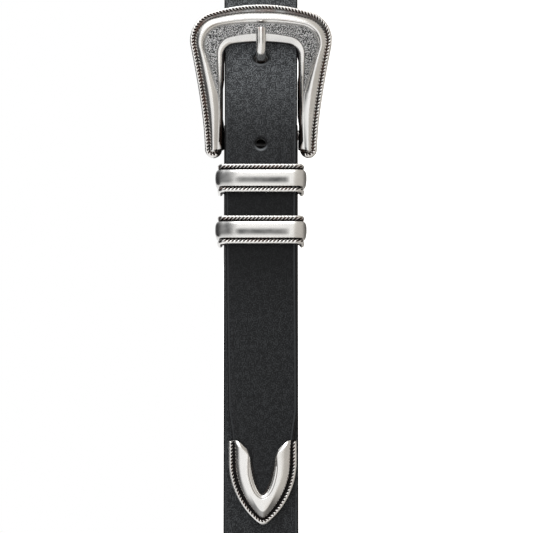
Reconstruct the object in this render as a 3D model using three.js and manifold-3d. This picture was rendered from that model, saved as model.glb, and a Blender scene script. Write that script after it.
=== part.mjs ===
// A western belt, fastened into a loop and standing on its lower edge.
// Millimetres, +Z up. It is modelled in the belt's own frame first: x runs along the front towards
// the buckle, depth is measured from the strap towards the viewer (so y = -depth), and z runs
// across the strap. The whole belt then leans until its buckle and its lower edge touch the floor.
import * as THREE from 'three';
import { mergeVertices } from 'three/addons/utils/BufferGeometryUtils.js';
import { LoftGeometry } from 'three/addons/geometries/LoftGeometry.js';
import Module from 'manifold-3d';

const wasm = await Module();
wasm.setup();

// Strap
const STRAP_WIDTH = 32;
const STRAP_THICKNESS = 3;
const FOLD_THICKNESS = 2.2; // skived where the strap turns back round the heel bar
const FLAP_END_THICKNESS = 1.4;
const LAYER_GAP = 0.4;
const CLEARANCE = 0.3;
const BILLET_HALF_AT_BUCKLE = 16;
const BILLET_HALF_AT_TIP = 14.8;
const BILLET_DEPTH = STRAP_THICKNESS + LAYER_GAP;
const BILLET_TIP_LIFT = 0.8; // the end rides higher, on the back plate of the metal tip

// Loop in plan: a straight front, corners that open out, and one wide arc behind
const FRONT_HALF = 116;
const CORNER_ARCS = [
	{ radius: 54, turn: 70, steps: 8 },
	{ radius: 86, turn: 45, steps: 6 }
];
const BACK_STEPS = 11;

// Holes: the prong sits in the middle one of five
const HOLE_X = 91.6;
const HOLE_PITCH = 37.5;
const HOLE_RADIUS = 2.1;
const HOLE_CUT_PAST = 0.35;
const HOLES_EACH_WAY = 2;
const PRONG_HOLE_HALF_LENGTH = 3.1;
const PRONG_HOLE_HALF_WIDTH = 2.6;

// Buckle: a cast horseshoe, measured down from its top edge and out from its middle
const BUCKLE_TOP_X = 114.9;
const CROWN_RADIUS = 71;
const SHOULDER_RADIUS = 12.7;
const BUCKLE_HALF = 30.8;
const LEG_END_DOWN = 63.5;
const LEG_END_RADIUS = 3.7;
const LEG_END_MIDDLE = 20.6;
const LEG_OUTER_HALF = 24.3;
const LEG_LOWER_PULL = new THREE.Vector2( 24.8, 51.5 ); // the two shape the leg's outer curve
const LEG_UPPER_PULL = new THREE.Vector2( 25.6, 45.2 );
const SHOULDER_END = THREE.MathUtils.degToRad( 100 ); // where the shoulder's arc meets the leg
const WINDOW_TOP_DOWN = 16.6;
const WINDOW_CROWN_RADIUS = 81;
const WINDOW_CORNER_RADIUS = 5.6;
const WINDOW_HALF_TOP = 16.75;
const WINDOW_HALF_END = 18.2;
const WALL_BACK_HALF = 16.45; // the window's wall leans inwards towards the back of the legs
const FRAME_BACK_AT_TOP = 2.4;
const FRAME_BACK_AT_LEGS = 0.5;
const BACK_STEP_START = 18;

// Relief of the casting, as heights over its back
const EDGE_HEIGHT = 1.6;
const GROOVE_HEIGHT = 2.1;
const CREST_HEIGHT = 4.4;
const PANEL_HEIGHT = 2.9;
const RIM_HEIGHT = 3.6;
const RIM_EDGE_HEIGHT = 2.8;

// Rope borders
const ROPE_RADIUS = 0.9;
const ROPE_LOBE = 0.16;
const ROPE_SIDES = 5;
const ROPE_STRANDS = 2;
const ROPE_PITCH = 2.9; // two strands of the fine cast rope are taken as one

// Heel bar and prong
const BAR_X = 58.5;
const BAR_RADIUS = 2.2;
const BAR_DEPTH = STRAP_THICKNESS / 2 - FOLD_THICKNESS - CLEARANCE - BAR_RADIUS;
const LUG_LENGTH = 8.4;
const FOLD_RADIUS = BAR_RADIUS + CLEARANCE + FOLD_THICKNESS / 2;
const FLAP_CLOSE_X = 45;
const FLAP_END_X = -2;
const SLOT_HALF_WIDTH = 4;
const SLOT_LENGTH = 8.5;
const PRONG_HALF_WIDTH = 2.15;
const PRONG_HALF_DEPTH = 1.8;
const PRONG_TIP_X = 104.5;
const EYE_OUTER_RADIUS = 4.5;
const EYE_HALF_WIDTH = 2.6;

// Keepers
const KEEPER_LENGTH = 12.4;
const KEEPER_INNER_HALF = 16.4;
const KEEPER_WALL = 1.2;
const KEEPER_CORNER = 2.4;
const KEEPER_INNER_CORNER = 0.5;
const KEEPER_BAND_RISE = 1.5; // of the crowned band in front
const KEEPER_SIDE_RISE = 2.1; // and round the sides
const KEEPER_ROPE_RADIUS = 1.05;
const KEEPERS = [
	{ name: 'keeper_1', x: 38.2 },
	{ name: 'keeper_2', x: 15.7 }
];

// Metal tip
const TIP_POINT_X = -110.4;
const TIP_POINT_HALF = 0.35;
const TIP_ARM_X = -75;
const TIP_HALF = 14.5;
const TIP_ARC_RADIUS = 32.1;
const TIP_ARC_START_X = -83.8;
const TIP_Z = -0.8; // the billet end lies a little towards the lower edge
const TIP_WALL = 0.8;
const BILLET_INSET = TIP_WALL + 2 * CLEARANCE; // of the leather inside the tip
const TUCK_LENGTH = 15; // the billet's edges curve in before they enter the tip
const TIP_LEATHER = 2.4;
const TIP_FACE = 1;
const TIP_CREST = 1.6;
const TIP_ROPE_RISE = 0.5;
const NOTCH_HALF = 5.2;
const NOTCH_BOTTOM_HALF = 1.6;
const NOTCH_SIDE = 9;
const NOTCH_TOP_X = -81;
const NOTCH_BOTTOM_X = -98;
const ARM_END_HALF = 11.2;
const ARM_MIDDLE_HALF = 7.4;
const ARM_END_SLANT = 3;

const SMALLEST_DETAIL = 0.02; // joins leave slivers thinner than this, which are merged away

// Lean of the belt at rest: the buckle and the lower edge behind it carry the weight
const REST_TURN_X = THREE.MathUtils.degToRad( - 1.677 );
const REST_TURN_Y = THREE.MathUtils.degToRad( - 2.5 );

const leather = new THREE.MeshStandardMaterial( { color: 0x2d2f31, roughness: 0.72, metalness: 0 } );
const silver = new THREE.MeshStandardMaterial( { color: 0xb4b2ac, roughness: 0.32, metalness: 1 } );

// Helpers

function at( x, depth, z ) {

	return new THREE.Vector3( x, - depth, z );

}

function smoothstep( value, start, end ) {

	return THREE.MathUtils.smoothstep( value, start, end );

}

function solid( geometry ) {

	const bare = new THREE.BufferGeometry();
	bare.setAttribute( 'position', geometry.getAttribute( 'position' ) );
	bare.setIndex( geometry.index );
	const merged = mergeVertices( bare, 1e-4 );
	const triVerts = new Uint32Array( merged.index.array );
	const vertProperties = merged.attributes.position.array;
	const made = new wasm.Manifold( new wasm.Mesh( { numProp: 3, vertProperties, triVerts } ) );
	if ( made.volume() > 0 ) return made;
	for ( let i = 0; i < triVerts.length; i += 3 ) {

		[ triVerts[ i + 1 ], triVerts[ i + 2 ] ] = [ triVerts[ i + 2 ], triVerts[ i + 1 ] ];

	}

	return new wasm.Manifold( new wasm.Mesh( { numProp: 3, vertProperties, triVerts } ) );

}

function joined( parts ) {

	return parts.reduce( ( whole, part ) => whole.add( part ) );

}

function meshOf( name, body, material ) {

	const result = body.simplify( SMALLEST_DETAIL ).getMesh();
	const geometry = new THREE.BufferGeometry();
	geometry.setAttribute( 'position', new THREE.BufferAttribute( result.vertProperties, 3 ) );
	geometry.setIndex( new THREE.BufferAttribute( result.triVerts, 1 ) );
	geometry.computeVertexNormals();
	const mesh = new THREE.Mesh( geometry, material );
	mesh.name = name;
	return mesh;

}

// A body through a row of rings. A ring that runs clockwise, seen from the far end, is turned round.
function loft( sections ) {

	const [ first, next ] = sections;
	const forward = next[ 0 ].clone().sub( first[ 0 ] );
	const area = new THREE.Vector3();
	first.forEach( ( point, i ) => {

		const here = point.clone().sub( first[ 0 ] );
		const after = first[ ( i + 1 ) % first.length ].clone().sub( first[ 0 ] );
		area.add( here.cross( after ) );

	} );
	const rings = area.dot( forward ) > 0 ? sections : sections.map( ( ring ) => [ ...ring ].reverse() );
	return solid( new LoftGeometry( rings, { capStart: true, capEnd: true } ) );

}

// A plate whose outline lies in the x-z plane, between two depths.
function plate( outline, depthLow, depthHigh ) {

	const shape = new THREE.Shape( outline );
	const geometry = new THREE.ExtrudeGeometry( shape, {
		depth: depthHigh - depthLow,
		bevelEnabled: false
	} );
	geometry.rotateX( Math.PI / 2 );
	geometry.translate( 0, - depthLow, 0 );
	return solid( geometry );

}

// A twisted rope border: a tube along the path, whose lobes swap places every half pitch.
function rope( path, radius ) {

	const curve = new THREE.CatmullRomCurve3( path );
	const steps = Math.round( curve.getLength() / ROPE_PITCH ) * 2;
	const sections = [];
	for ( let i = 0; i <= steps; i ++ ) {

		const centre = curve.getPointAt( i / steps );
		const along = curve.getTangentAt( i / steps );
		const side = new THREE.Vector3( 0, - 1, 0 ).cross( along );
		if ( side.lengthSq() < 0.25 ) side.set( 1, 0, 0 );
		side.normalize();
		const up = new THREE.Vector3().crossVectors( along, side );
		const ring = [];
		for ( let j = 0; j < ROPE_SIDES; j ++ ) {

			const angle = j / ROPE_SIDES * Math.PI * 2;
			const wave = Math.cos( ROPE_STRANDS * angle - Math.PI * i );
			const reach = radius * ( 1 + ROPE_LOBE * wave );
			ring.push( centre.clone()
				.addScaledVector( side, Math.cos( angle ) * reach )
				.addScaledVector( up, Math.sin( angle ) * reach ) );

		}

		sections.push( ring );

	}

	return loft( sections );

}

// Strap: one ribbon from the billet end, round the loop, to the flap behind the heel bar

function billetDepth( x ) {

	const lift = BILLET_TIP_LIFT * smoothstep( - x, 32, 68 );
	const drop = BILLET_DEPTH * smoothstep( x, BAR_X + 1, HOLE_X + 2 );
	return BILLET_DEPTH + lift - drop;

}

// The loop's middle line in plan, from the end of the straight front to the middle of the back.
function planHalf() {

	let from = new THREE.Vector2( FRONT_HALF, 0 );
	let turned = 0;
	const points = [ from ];
	const addArc = ( radius, turn, steps ) => {

		const start = turned;
		for ( let i = 1; i <= steps; i ++ ) {

			turned = start + i / steps * turn;
			points.push( new THREE.Vector2(
				from.x + radius * ( Math.sin( turned ) - Math.sin( start ) ),
				from.y + radius * ( Math.cos( start ) - Math.cos( turned ) )
			) );

		}

		from = points.at( - 1 );

	};

	for ( const { radius, turn, steps } of CORNER_ARCS ) {

		addArc( radius, THREE.MathUtils.degToRad( turn ), steps );

	}

	addArc( from.x / Math.sin( turned ), Math.PI - turned, BACK_STEPS );
	return points;

}

function ribbonPath() {

	const points = [];
	const add = ( x, y, thickness ) => points.push( { x, y, thickness } );
	for ( const x of [ TIP_POINT_X + 3, TIP_ARM_X + 1 ] ) add( x, - billetDepth( x ), TIP_LEATHER );
	for ( let x = TIP_ARM_X + 4; x < FRONT_HALF; x += 6 ) add( x, - billetDepth( x ), STRAP_THICKNESS );

	const half = planHalf();
	for ( const point of half ) add( point.x, point.y, STRAP_THICKNESS );
	for ( const point of half.slice( 0, - 1 ).reverse() ) add( - point.x, point.y, STRAP_THICKNESS );

	// the buckle end thins from its inner side, and its outer face stays straight
	const skived = ( x ) => THREE.MathUtils.lerp( STRAP_THICKNESS, FOLD_THICKNESS, smoothstep( x, 5, 45 ) );
	for ( let x = 5; x < BAR_X; x += 8 ) add( x, ( skived( x ) - STRAP_THICKNESS ) / 2, skived( x ) );

	const foldSteps = 10;
	for ( let i = 0; i <= foldSteps; i ++ ) {

		const angle = i / foldSteps * Math.PI;
		const y = - BAR_DEPTH - FOLD_RADIUS * Math.cos( angle );
		add( BAR_X + FOLD_RADIUS * Math.sin( angle ), y, FOLD_THICKNESS );

	}

	const flapFar = - BAR_DEPTH + FOLD_RADIUS;
	const flapNear = STRAP_THICKNESS / 2 + LAYER_GAP + FOLD_THICKNESS / 2;
	for ( let x = BAR_X - 2.5; x > FLAP_CLOSE_X; x -= 2.5 ) {

		add( x, THREE.MathUtils.lerp( flapNear, flapFar, smoothstep( x, FLAP_CLOSE_X, BAR_X ) ), FOLD_THICKNESS );

	}

	for ( let x = FLAP_CLOSE_X; x > FLAP_END_X; x -= 10 ) add( x, flapNear, FOLD_THICKNESS );

	add( FLAP_END_X, flapNear + ( FLAP_END_THICKNESS - FOLD_THICKNESS ) / 2, FLAP_END_THICKNESS );
	return points;

}

// The direction along the ribbon at one of its points.
function heading( points, i ) {

	const before = points[ Math.max( i - 1, 0 ) ];
	const after = points[ Math.min( i + 1, points.length - 1 ) ];
	return new THREE.Vector2( after.x - before.x, after.y - before.y ).normalize();

}

function ribbon( points ) {

	const outer = [];
	const inner = [];
	points.forEach( ( point, i ) => {

		const along = heading( points, i );
		const half = point.thickness / 2;
		outer.push( new THREE.Vector2( point.x + along.y * half, point.y - along.x * half ) );
		inner.unshift( new THREE.Vector2( point.x - along.y * half, point.y + along.x * half ) );

	} );
	const geometry = new THREE.ExtrudeGeometry( new THREE.Shape( outer.concat( inner ) ), {
		depth: STRAP_WIDTH,
		bevelEnabled: false
	} );
	geometry.translate( 0, 0, - STRAP_WIDTH / 2 );
	return solid( geometry );

}

// The place of a hole, a distance along the strap from the prong's hole.
function holePlace( points, distance ) {

	let i = points.findIndex( ( point ) => point.x > HOLE_X );
	let left = distance + HOLE_X - points[ i ].x;
	const step = Math.sign( left ) || 1;
	for ( ;; ) {

		const next = points[ i + step ];
		const length = Math.hypot( next.x - points[ i ].x, next.y - points[ i ].y );
		if ( length > Math.abs( left ) ) {

			const share = Math.abs( left ) / length;
			return {
				x: THREE.MathUtils.lerp( points[ i ].x, next.x, share ),
				y: THREE.MathUtils.lerp( points[ i ].y, next.y, share ),
				turn: heading( points, i ).angle()
			};

		}

		left -= step * length;
		i += step;

	}

}

function hole( place, halfLength, halfWidth ) {

	const geometry = new THREE.CylinderGeometry( 1, 1, STRAP_THICKNESS + 2 * HOLE_CUT_PAST, 16 );
	geometry.scale( halfLength, 1, halfWidth );
	geometry.rotateZ( place.turn );
	geometry.translate( place.x, place.y, 0 );
	return solid( geometry );

}

// Half the billet's width: an even taper, then a tuck to fit inside the tip's pocket.
function billetHalf( x ) {

	const share = ( FRONT_HALF - x ) / ( FRONT_HALF - TIP_ARM_X );
	const taper = THREE.MathUtils.lerp( BILLET_HALF_AT_BUCKLE, BILLET_HALF_AT_TIP, share );
	const tuck = BILLET_HALF_AT_TIP - ( TIP_HALF - BILLET_INSET );
	return taper - tuck * smoothstep( - x, - TIP_ARM_X - TUCK_LENGTH, - TIP_ARM_X );

}

function billetTrim() {

	// everything of the billet that lies outside its tapering outline, down to the pointed end
	const underBillet = BILLET_DEPTH - STRAP_THICKNESS / 2 - LAYER_GAP / 2;
	const pastPoint = TIP_POINT_X - 2;
	const outline = [ new THREE.Vector2( FRONT_HALF, BILLET_HALF_AT_BUCKLE ) ];
	for ( let i = 0; i < 5; i ++ ) {

		const x = TIP_ARM_X + TUCK_LENGTH * ( 1 - i / 4 );
		outline.push( new THREE.Vector2( x, billetHalf( x ) ) );

	}

	outline.push( ...tipEdge( BILLET_INSET ) );
	return [ 1, - 1 ].map( ( side ) => {

		const edge = outline.map( ( point ) => {

			const lean = TIP_Z * smoothstep( - point.x, - 20, - TIP_ARM_X );
			return new THREE.Vector2( point.x, side * point.y + lean );

		} );
		edge.push( new THREE.Vector2( pastPoint, edge.at( - 1 ).y ) );
		edge.push( new THREE.Vector2( pastPoint, side * STRAP_WIDTH ) );
		edge.push( new THREE.Vector2( FRONT_HALF, side * STRAP_WIDTH ) );
		return plate( edge, underBillet, STRAP_WIDTH );

	} );

}

function strap() {

	const points = ribbonPath();
	let body = ribbon( points );
	for ( const cut of billetTrim() ) body = body.subtract( cut );
	for ( let i = - HOLES_EACH_WAY; i <= HOLES_EACH_WAY; i ++ ) {

		const place = holePlace( points, i * HOLE_PITCH );
		const atProng = i === 0;
		const halfLength = atProng ? PRONG_HOLE_HALF_LENGTH : HOLE_RADIUS;
		const halfWidth = atProng ? PRONG_HOLE_HALF_WIDTH : HOLE_RADIUS;
		body = body.subtract( hole( place, halfLength, halfWidth ) );

	}

	const slot = new THREE.BoxGeometry( 2 * SLOT_LENGTH, 2 * FOLD_RADIUS + 3, 2 * SLOT_HALF_WIDTH );
	slot.translate( BAR_X, - BAR_DEPTH, 0 );
	return body.subtract( solid( slot ) );

}

// Buckle frame

function frameBack( down ) {

	const share = smoothstep( down, BACK_STEP_START, LEG_END_DOWN );
	return THREE.MathUtils.lerp( FRAME_BACK_AT_TOP, FRAME_BACK_AT_LEGS, share );

}

// Outer and inner outlines of the right half, from the leg's end to the middle of the crown.
// Each is a leg, a shoulder and a crown; a point is ( half width, distance down ).
function outlineHalf() {

	const shoulder = new THREE.Vector2( BUCKLE_HALF - SHOULDER_RADIUS, 0 );
	const crownTurn = Math.asin( shoulder.x / ( CROWN_RADIUS - SHOULDER_RADIUS ) );
	shoulder.y = CROWN_RADIUS - ( CROWN_RADIUS - SHOULDER_RADIUS ) * Math.cos( crownTurn );
	const sideTurn = SHOULDER_END;
	const sideTop = new THREE.Vector2( Math.sin( sideTurn ), - Math.cos( sideTurn ) )
		.multiplyScalar( SHOULDER_RADIUS ).add( shoulder );
	const leg = new THREE.CubicBezierCurve(
		new THREE.Vector2( LEG_OUTER_HALF, LEG_END_DOWN ),
		LEG_LOWER_PULL,
		LEG_UPPER_PULL,
		sideTop
	);
	return { leg, shoulder, radius: SHOULDER_RADIUS, sideTurn, crownTurn, crownRadius: CROWN_RADIUS, top: 0 };

}

function windowHalf() {

	const shoulder = new THREE.Vector2( WINDOW_HALF_TOP - WINDOW_CORNER_RADIUS, 0 );
	const reach = WINDOW_CROWN_RADIUS - WINDOW_CORNER_RADIUS;
	const crownTurn = Math.asin( shoulder.x / reach );
	shoulder.y = WINDOW_TOP_DOWN + WINDOW_CROWN_RADIUS - reach * Math.cos( crownTurn );
	const leg = new THREE.LineCurve(
		new THREE.Vector2( WINDOW_HALF_END, LEG_END_DOWN ),
		new THREE.Vector2( WINDOW_HALF_TOP, shoulder.y )
	);
	return {
		leg,
		shoulder,
		radius: WINDOW_CORNER_RADIUS,
		sideTurn: Math.PI / 2,
		crownTurn,
		crownRadius: WINDOW_CROWN_RADIUS,
		top: WINDOW_TOP_DOWN
	};

}

// A point of such an outline, in zone 0 (leg), 1 (shoulder) or 2 (crown), at a share of it.
function outlinePoint( outline, zone, share ) {

	if ( zone === 0 ) return outline.leg.getPoint( share );
	if ( zone === 1 ) {

		const turn = THREE.MathUtils.lerp( outline.sideTurn, outline.crownTurn, share );
		return new THREE.Vector2( Math.sin( turn ), - Math.cos( turn ) )
			.multiplyScalar( outline.radius ).add( outline.shoulder );

	}

	const turn = outline.crownTurn * ( 1 - share );
	const radius = outline.crownRadius;
	return new THREE.Vector2( Math.sin( turn ), 1 - Math.cos( turn ) )
		.multiplyScalar( radius ).add( new THREE.Vector2( 0, outline.top ) );

}

// Widths of the relief's zones in mm: groove with its rope, raised band, and polished inner rim.
// On the lower legs the band is so wide that it meets the rim, and the panel ends in a point.
const RELIEF = [
	{ place: 0, groove: 2, band: 3.3, rim: 0.7 },
	{ place: 0.6, groove: 2.1, band: 5.8, rim: 0.9 },
	{ place: 0.8, groove: 2.1, band: 5.1, rim: 1.6 },
	{ place: 1, groove: 2.1, band: 4.6, rim: 2.4 },
	{ place: 2, groove: 2.7, band: 5.1, rim: 3.4 },
	{ place: 3, groove: 3.2, band: 5.3, rim: 3.8 }
];

function reliefAt( place ) {

	const i = Math.max( 1, RELIEF.findIndex( ( row ) => row.place >= place ) );
	const low = RELIEF[ i - 1 ];
	const high = RELIEF[ i ];
	const share = ( place - low.place ) / ( high.place - low.place );
	const mix = ( key ) => THREE.MathUtils.lerp( low[ key ], high[ key ], share );
	return { groove: mix( 'groove' ), band: mix( 'band' ), rim: mix( 'rim' ) };

}

function frameSection( outer, inner, place, side ) {

	const line = inner.clone().sub( outer );
	const width = line.length();
	const relief = reliefAt( place );
	const bandEnd = relief.groove + relief.band;
	const rimStart = Math.max( width - relief.rim, bandEnd + 0.1 );
	const panelLeft = smoothstep( rimStart - bandEnd, 0, 1.5 );
	const panel = THREE.MathUtils.lerp( RIM_HEIGHT, PANEL_HEIGHT, panelLeft );
	const profile = [
		[ 0.3, 0 ],
		[ 0.2, EDGE_HEIGHT ],
		[ relief.groove - 0.3, GROOVE_HEIGHT ],
		[ relief.groove + 0.35 * relief.band, CREST_HEIGHT - 0.3 ],
		[ relief.groove + 0.6 * relief.band, CREST_HEIGHT ],
		[ bandEnd, panel + 0.1 ],
		[ rimStart, panel ],
		[ ( rimStart + width ) / 2, Math.max( RIM_HEIGHT, panel ) ],
		[ width, RIM_EDGE_HEIGHT ],
		[ width + Math.max( inner.x - WALL_BACK_HALF, 0 ), 0 ]
	];
	return profile.map( ( [ reach, height ] ) => {

		const point = outer.clone().addScaledVector( line, reach / width );
		return at( BUCKLE_TOP_X - point.y, frameBack( point.y ) + height, side * point.x );

	} );

}

function frameStations() {

	const outer = outlineHalf();
	const window = windowHalf();
	const stations = [];
	const steps = [ 9, 6, 5 ];
	steps.forEach( ( count, zone ) => {

		for ( let i = zone ? 1 : 0; i <= count; i ++ ) {

			const share = i / count;
			stations.push( {
				outer: outlinePoint( outer, zone, share ),
				inner: outlinePoint( window, zone, share ),
				place: zone + share
			} );

		}

	} );
	return stations;

}

function horseshoe() {

	const stations = frameStations();
	const right = stations.map( ( s ) => frameSection( s.outer, s.inner, s.place, - 1 ) );
	const left = stations.slice( 0, - 1 ).map( ( s ) => frameSection( s.outer, s.inner, s.place, 1 ) );
	return loft( right.concat( left.reverse() ) );

}

// The round end of a leg: a low dome with a groove for the rope.
function legEnd( side ) {

	const back = FRAME_BACK_AT_LEGS;
	const r = LEG_END_RADIUS;
	const profile = [
		new THREE.Vector2( 0, 0 ),
		new THREE.Vector2( r - 0.3, 0 ),
		new THREE.Vector2( r - 0.2, EDGE_HEIGHT ),
		new THREE.Vector2( r - 1.7, GROOVE_HEIGHT ),
		new THREE.Vector2( r - 2.3, CREST_HEIGHT - 0.9 ),
		new THREE.Vector2( 0, CREST_HEIGHT - 0.4 )
	];
	const geometry = new THREE.LatheGeometry( profile, 16 );
	geometry.rotateX( Math.PI );
	geometry.translate( BUCKLE_TOP_X - LEG_END_DOWN, - back, side * LEG_END_MIDDLE );
	return solid( geometry );

}

function framePath() {

	const inset = ROPE_RADIUS;
	const half = [];
	for ( let i = 0; i < 5; i ++ ) {

		const turn = THREE.MathUtils.degToRad( 165 - i * 33 );
		half.push( new THREE.Vector2(
			LEG_END_MIDDLE + Math.cos( turn ) * ( LEG_END_RADIUS - inset ),
			LEG_END_DOWN + Math.sin( turn ) * ( LEG_END_RADIUS - inset )
		) );

	}

	for ( const s of frameStations() ) {

		const share = inset / s.outer.distanceTo( s.inner );
		half.push( s.outer.clone().lerp( s.inner, share ) );

	}

	const place = ( point, side ) => at(
		BUCKLE_TOP_X - point.y,
		frameBack( Math.min( point.y, LEG_END_DOWN ) ) + EDGE_HEIGHT + 0.3,
		side * point.x
	);
	const right = half.map( ( point ) => place( point, - 1 ) );
	const left = half.slice( 0, - 1 ).map( ( point ) => place( point, 1 ) );
	return right.concat( left.reverse() );

}

function heelBar() {

	const reach = LEG_END_MIDDLE;
	const bar = new THREE.CylinderGeometry( BAR_RADIUS, BAR_RADIUS, 2 * reach, 12 );
	bar.rotateX( Math.PI / 2 );
	bar.translate( BAR_X, - BAR_DEPTH, 0 );
	const low = BAR_DEPTH - BAR_RADIUS - 0.6;
	const high = FRAME_BACK_AT_LEGS + 1;
	const lugs = [ 1, - 1 ].map( ( side ) => {

		const lug = new THREE.BoxGeometry( LUG_LENGTH, high - low, LEG_OUTER_HALF - WINDOW_HALF_TOP - 1 );
		lug.translate( BAR_X, - ( low + high ) / 2, side * ( LEG_OUTER_HALF + WINDOW_HALF_TOP ) / 2 );
		return solid( lug );

	} );
	return [ solid( bar ), ...lugs ];

}

function buckleFrame() {

	return joined( [
		horseshoe(),
		legEnd( 1 ),
		legEnd( - 1 ),
		...heelBar(),
		rope( framePath(), ROPE_RADIUS )
	] );

}

// Prong: an eye round the heel bar, and a round bar that comes up through the strap's hole

function prong() {

	const start = BAR_DEPTH + 0.9;
	const rimTop = FRAME_BACK_AT_TOP + RIM_HEIGHT + CLEARANCE + PRONG_HALF_DEPTH + 0.1;
	const path = new THREE.CatmullRomCurve3( [
		at( BAR_X + 3.4, start, 0 ),
		at( BAR_X + 14, BAR_DEPTH - 0.5, 0 ),
		at( HOLE_X - 6, BAR_DEPTH - 0.9, 0 ),
		at( HOLE_X - 2.2, BAR_DEPTH - 0.5, 0 ),
		at( HOLE_X - 0.5, - 1, 0 ),
		at( HOLE_X + 0.5, 3, 0 ),
		at( HOLE_X + 2.3, rimTop - 1.5, 0 ),
		at( HOLE_X + 5.2, rimTop, 0 ),
		at( PRONG_TIP_X - 2.5, rimTop - 0.15, 0 ),
		at( PRONG_TIP_X, rimTop - 0.4, 0 )
	], false, 'centripetal' );
	const steps = 34;
	const sections = [];
	for ( let i = 0; i <= steps; i ++ ) {

		const centre = path.getPointAt( i / steps );
		const along = path.getTangentAt( i / steps );
		const up = new THREE.Vector3( along.y, - along.x, 0 );
		const shrink = i === steps ? 0.7 : 1;
		const ring = [];
		for ( let j = 0; j < 10; j ++ ) {

			const angle = j / 10 * Math.PI * 2;
			ring.push( centre.clone()
				.addScaledVector( up, Math.cos( angle ) * PRONG_HALF_DEPTH * shrink )
				.add( new THREE.Vector3( 0, 0, Math.sin( angle ) * PRONG_HALF_WIDTH * shrink ) ) );

		}

		sections.push( ring );

	}

	const inner = BAR_RADIUS + CLEARANCE;
	const eye = new THREE.LatheGeometry( [
		new THREE.Vector2( inner, - EYE_HALF_WIDTH ),
		new THREE.Vector2( EYE_OUTER_RADIUS, - EYE_HALF_WIDTH ),
		new THREE.Vector2( EYE_OUTER_RADIUS, EYE_HALF_WIDTH ),
		new THREE.Vector2( inner, EYE_HALF_WIDTH ),
		new THREE.Vector2( inner, - EYE_HALF_WIDTH )
	], 20 );
	eye.rotateX( Math.PI / 2 );
	eye.translate( BAR_X, - BAR_DEPTH, 0 );
	const bore = new THREE.CylinderGeometry( inner, inner, 4 * EYE_HALF_WIDTH, 20 );
	bore.rotateX( Math.PI / 2 );
	bore.translate( BAR_X, - BAR_DEPTH, 0 );
	return loft( sections ).subtract( solid( bore ) ).add( solid( eye ) );

}

// Keepers: a plain strip behind, a crowned band in front and round the sides, and two ropes

function keeperRing( half, low, high, corner ) {

	const shape = new THREE.Shape();
	shape.moveTo( - half + corner, low );
	shape.lineTo( half - corner, low );
	shape.absarc( half - corner, low + corner, corner, - Math.PI / 2, 0 );
	shape.lineTo( half, high - corner );
	shape.absarc( half - corner, high - corner, corner, 0, Math.PI / 2 );
	shape.lineTo( - half + corner, high );
	shape.absarc( - half + corner, high - corner, corner, Math.PI / 2, Math.PI );
	shape.lineTo( - half, low + corner );
	shape.absarc( - half + corner, low + corner, corner, Math.PI, Math.PI * 1.5 );
	const points = shape.getPoints( 4 );
	return points.filter( ( point, i ) => point.distanceTo( points.at( i - 1 ) ) > 1e-3 );

}

function keeperHollow() {

	const flapBack = - ( STRAP_THICKNESS / 2 + LAYER_GAP + FOLD_THICKNESS );
	return { low: flapBack - CLEARANCE - 0.1, high: BILLET_DEPTH + STRAP_THICKNESS / 2 + CLEARANCE + 0.1 };

}

function keeper( x ) {

	const hollow = keeperHollow();
	const rows = [
		{ along: - 1, rise: 0 },
		{ along: - 0.62, rise: 0 },
		{ along: - 0.55, rise: 0.45 },
		{ along: - 0.3, rise: 0.9 },
		{ along: 0, rise: 1 },
		{ along: 0.3, rise: 0.9 },
		{ along: 0.55, rise: 0.45 },
		{ along: 0.62, rise: 0 },
		{ along: 1, rise: 0 }
	];
	const sections = rows.map( ( row ) => {

		const rise = row.rise * KEEPER_BAND_RISE;
		const ring = keeperRing(
			KEEPER_INNER_HALF + KEEPER_WALL + row.rise * KEEPER_SIDE_RISE,
			hollow.low - KEEPER_WALL,
			hollow.high + KEEPER_WALL + rise,
			KEEPER_CORNER + rise / 2
		);
		const place = x + row.along * ( KEEPER_LENGTH / 2 - KEEPER_ROPE_RADIUS );
		return ring.map( ( point ) => at( place, point.y, point.x ) );

	} );
	const inside = keeperRing( KEEPER_INNER_HALF, hollow.low, hollow.high, KEEPER_INNER_CORNER );
	const ends = [ x - KEEPER_LENGTH, x + KEEPER_LENGTH ];
	const bore = ends.map( ( end ) => inside.map( ( point ) => at( end, point.y, point.x ) ) );
	const ropes = [ - 1, 1 ].map( ( end ) => {

		const half = KEEPER_INNER_HALF + KEEPER_WALL;
		const top = hollow.high + KEEPER_WALL;
		const r = KEEPER_CORNER;
		const place = x + end * ( KEEPER_LENGTH / 2 - KEEPER_ROPE_RADIUS );
		const path = [ at( place, hollow.low, - half ), at( place, ( hollow.low + top - r ) / 2, - half ) ];
		for ( let i = 0; i <= 3; i ++ ) {

			const turn = i / 3 * Math.PI / 2;
			path.push( at( place, top - r + Math.sin( turn ) * r, - half + r - Math.cos( turn ) * r ) );

		}

		for ( let i = 1; i < 4; i ++ ) path.push( at( place, top, ( half - r ) * ( i - 2 ) / 2 ) );
		const mirrored = path.filter( ( point ) => point.z < - 0.1 ).reverse();
		return rope( path.concat( mirrored.slice( 1 ).map( ( p ) => new THREE.Vector3( p.x, p.y, - p.z ) ) ),
			KEEPER_ROPE_RADIUS );

	} );
	return joined( [ loft( sections ), ...ropes ] ).subtract( loft( bore ) );

}

// Metal tip: a pocket with a pointed end, its face notched

// One curved side of the pointed end, moved inwards: points ( x, half width ) down to the point.
function tipEdge( inset ) {

	const steps = 8;
	const radius = TIP_ARC_RADIUS - inset;
	const middle = TIP_HALF - TIP_ARC_RADIUS;
	const lastTurn = Math.acos( ( TIP_POINT_HALF - middle ) / radius );
	const points = [];
	for ( let i = 0; i <= steps; i ++ ) {

		const turn = i / steps * lastTurn;
		const x = TIP_ARC_START_X - Math.sin( turn ) * radius;
		points.push( new THREE.Vector2( x, middle + Math.cos( turn ) * radius ) );

	}

	return points;

}

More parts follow.
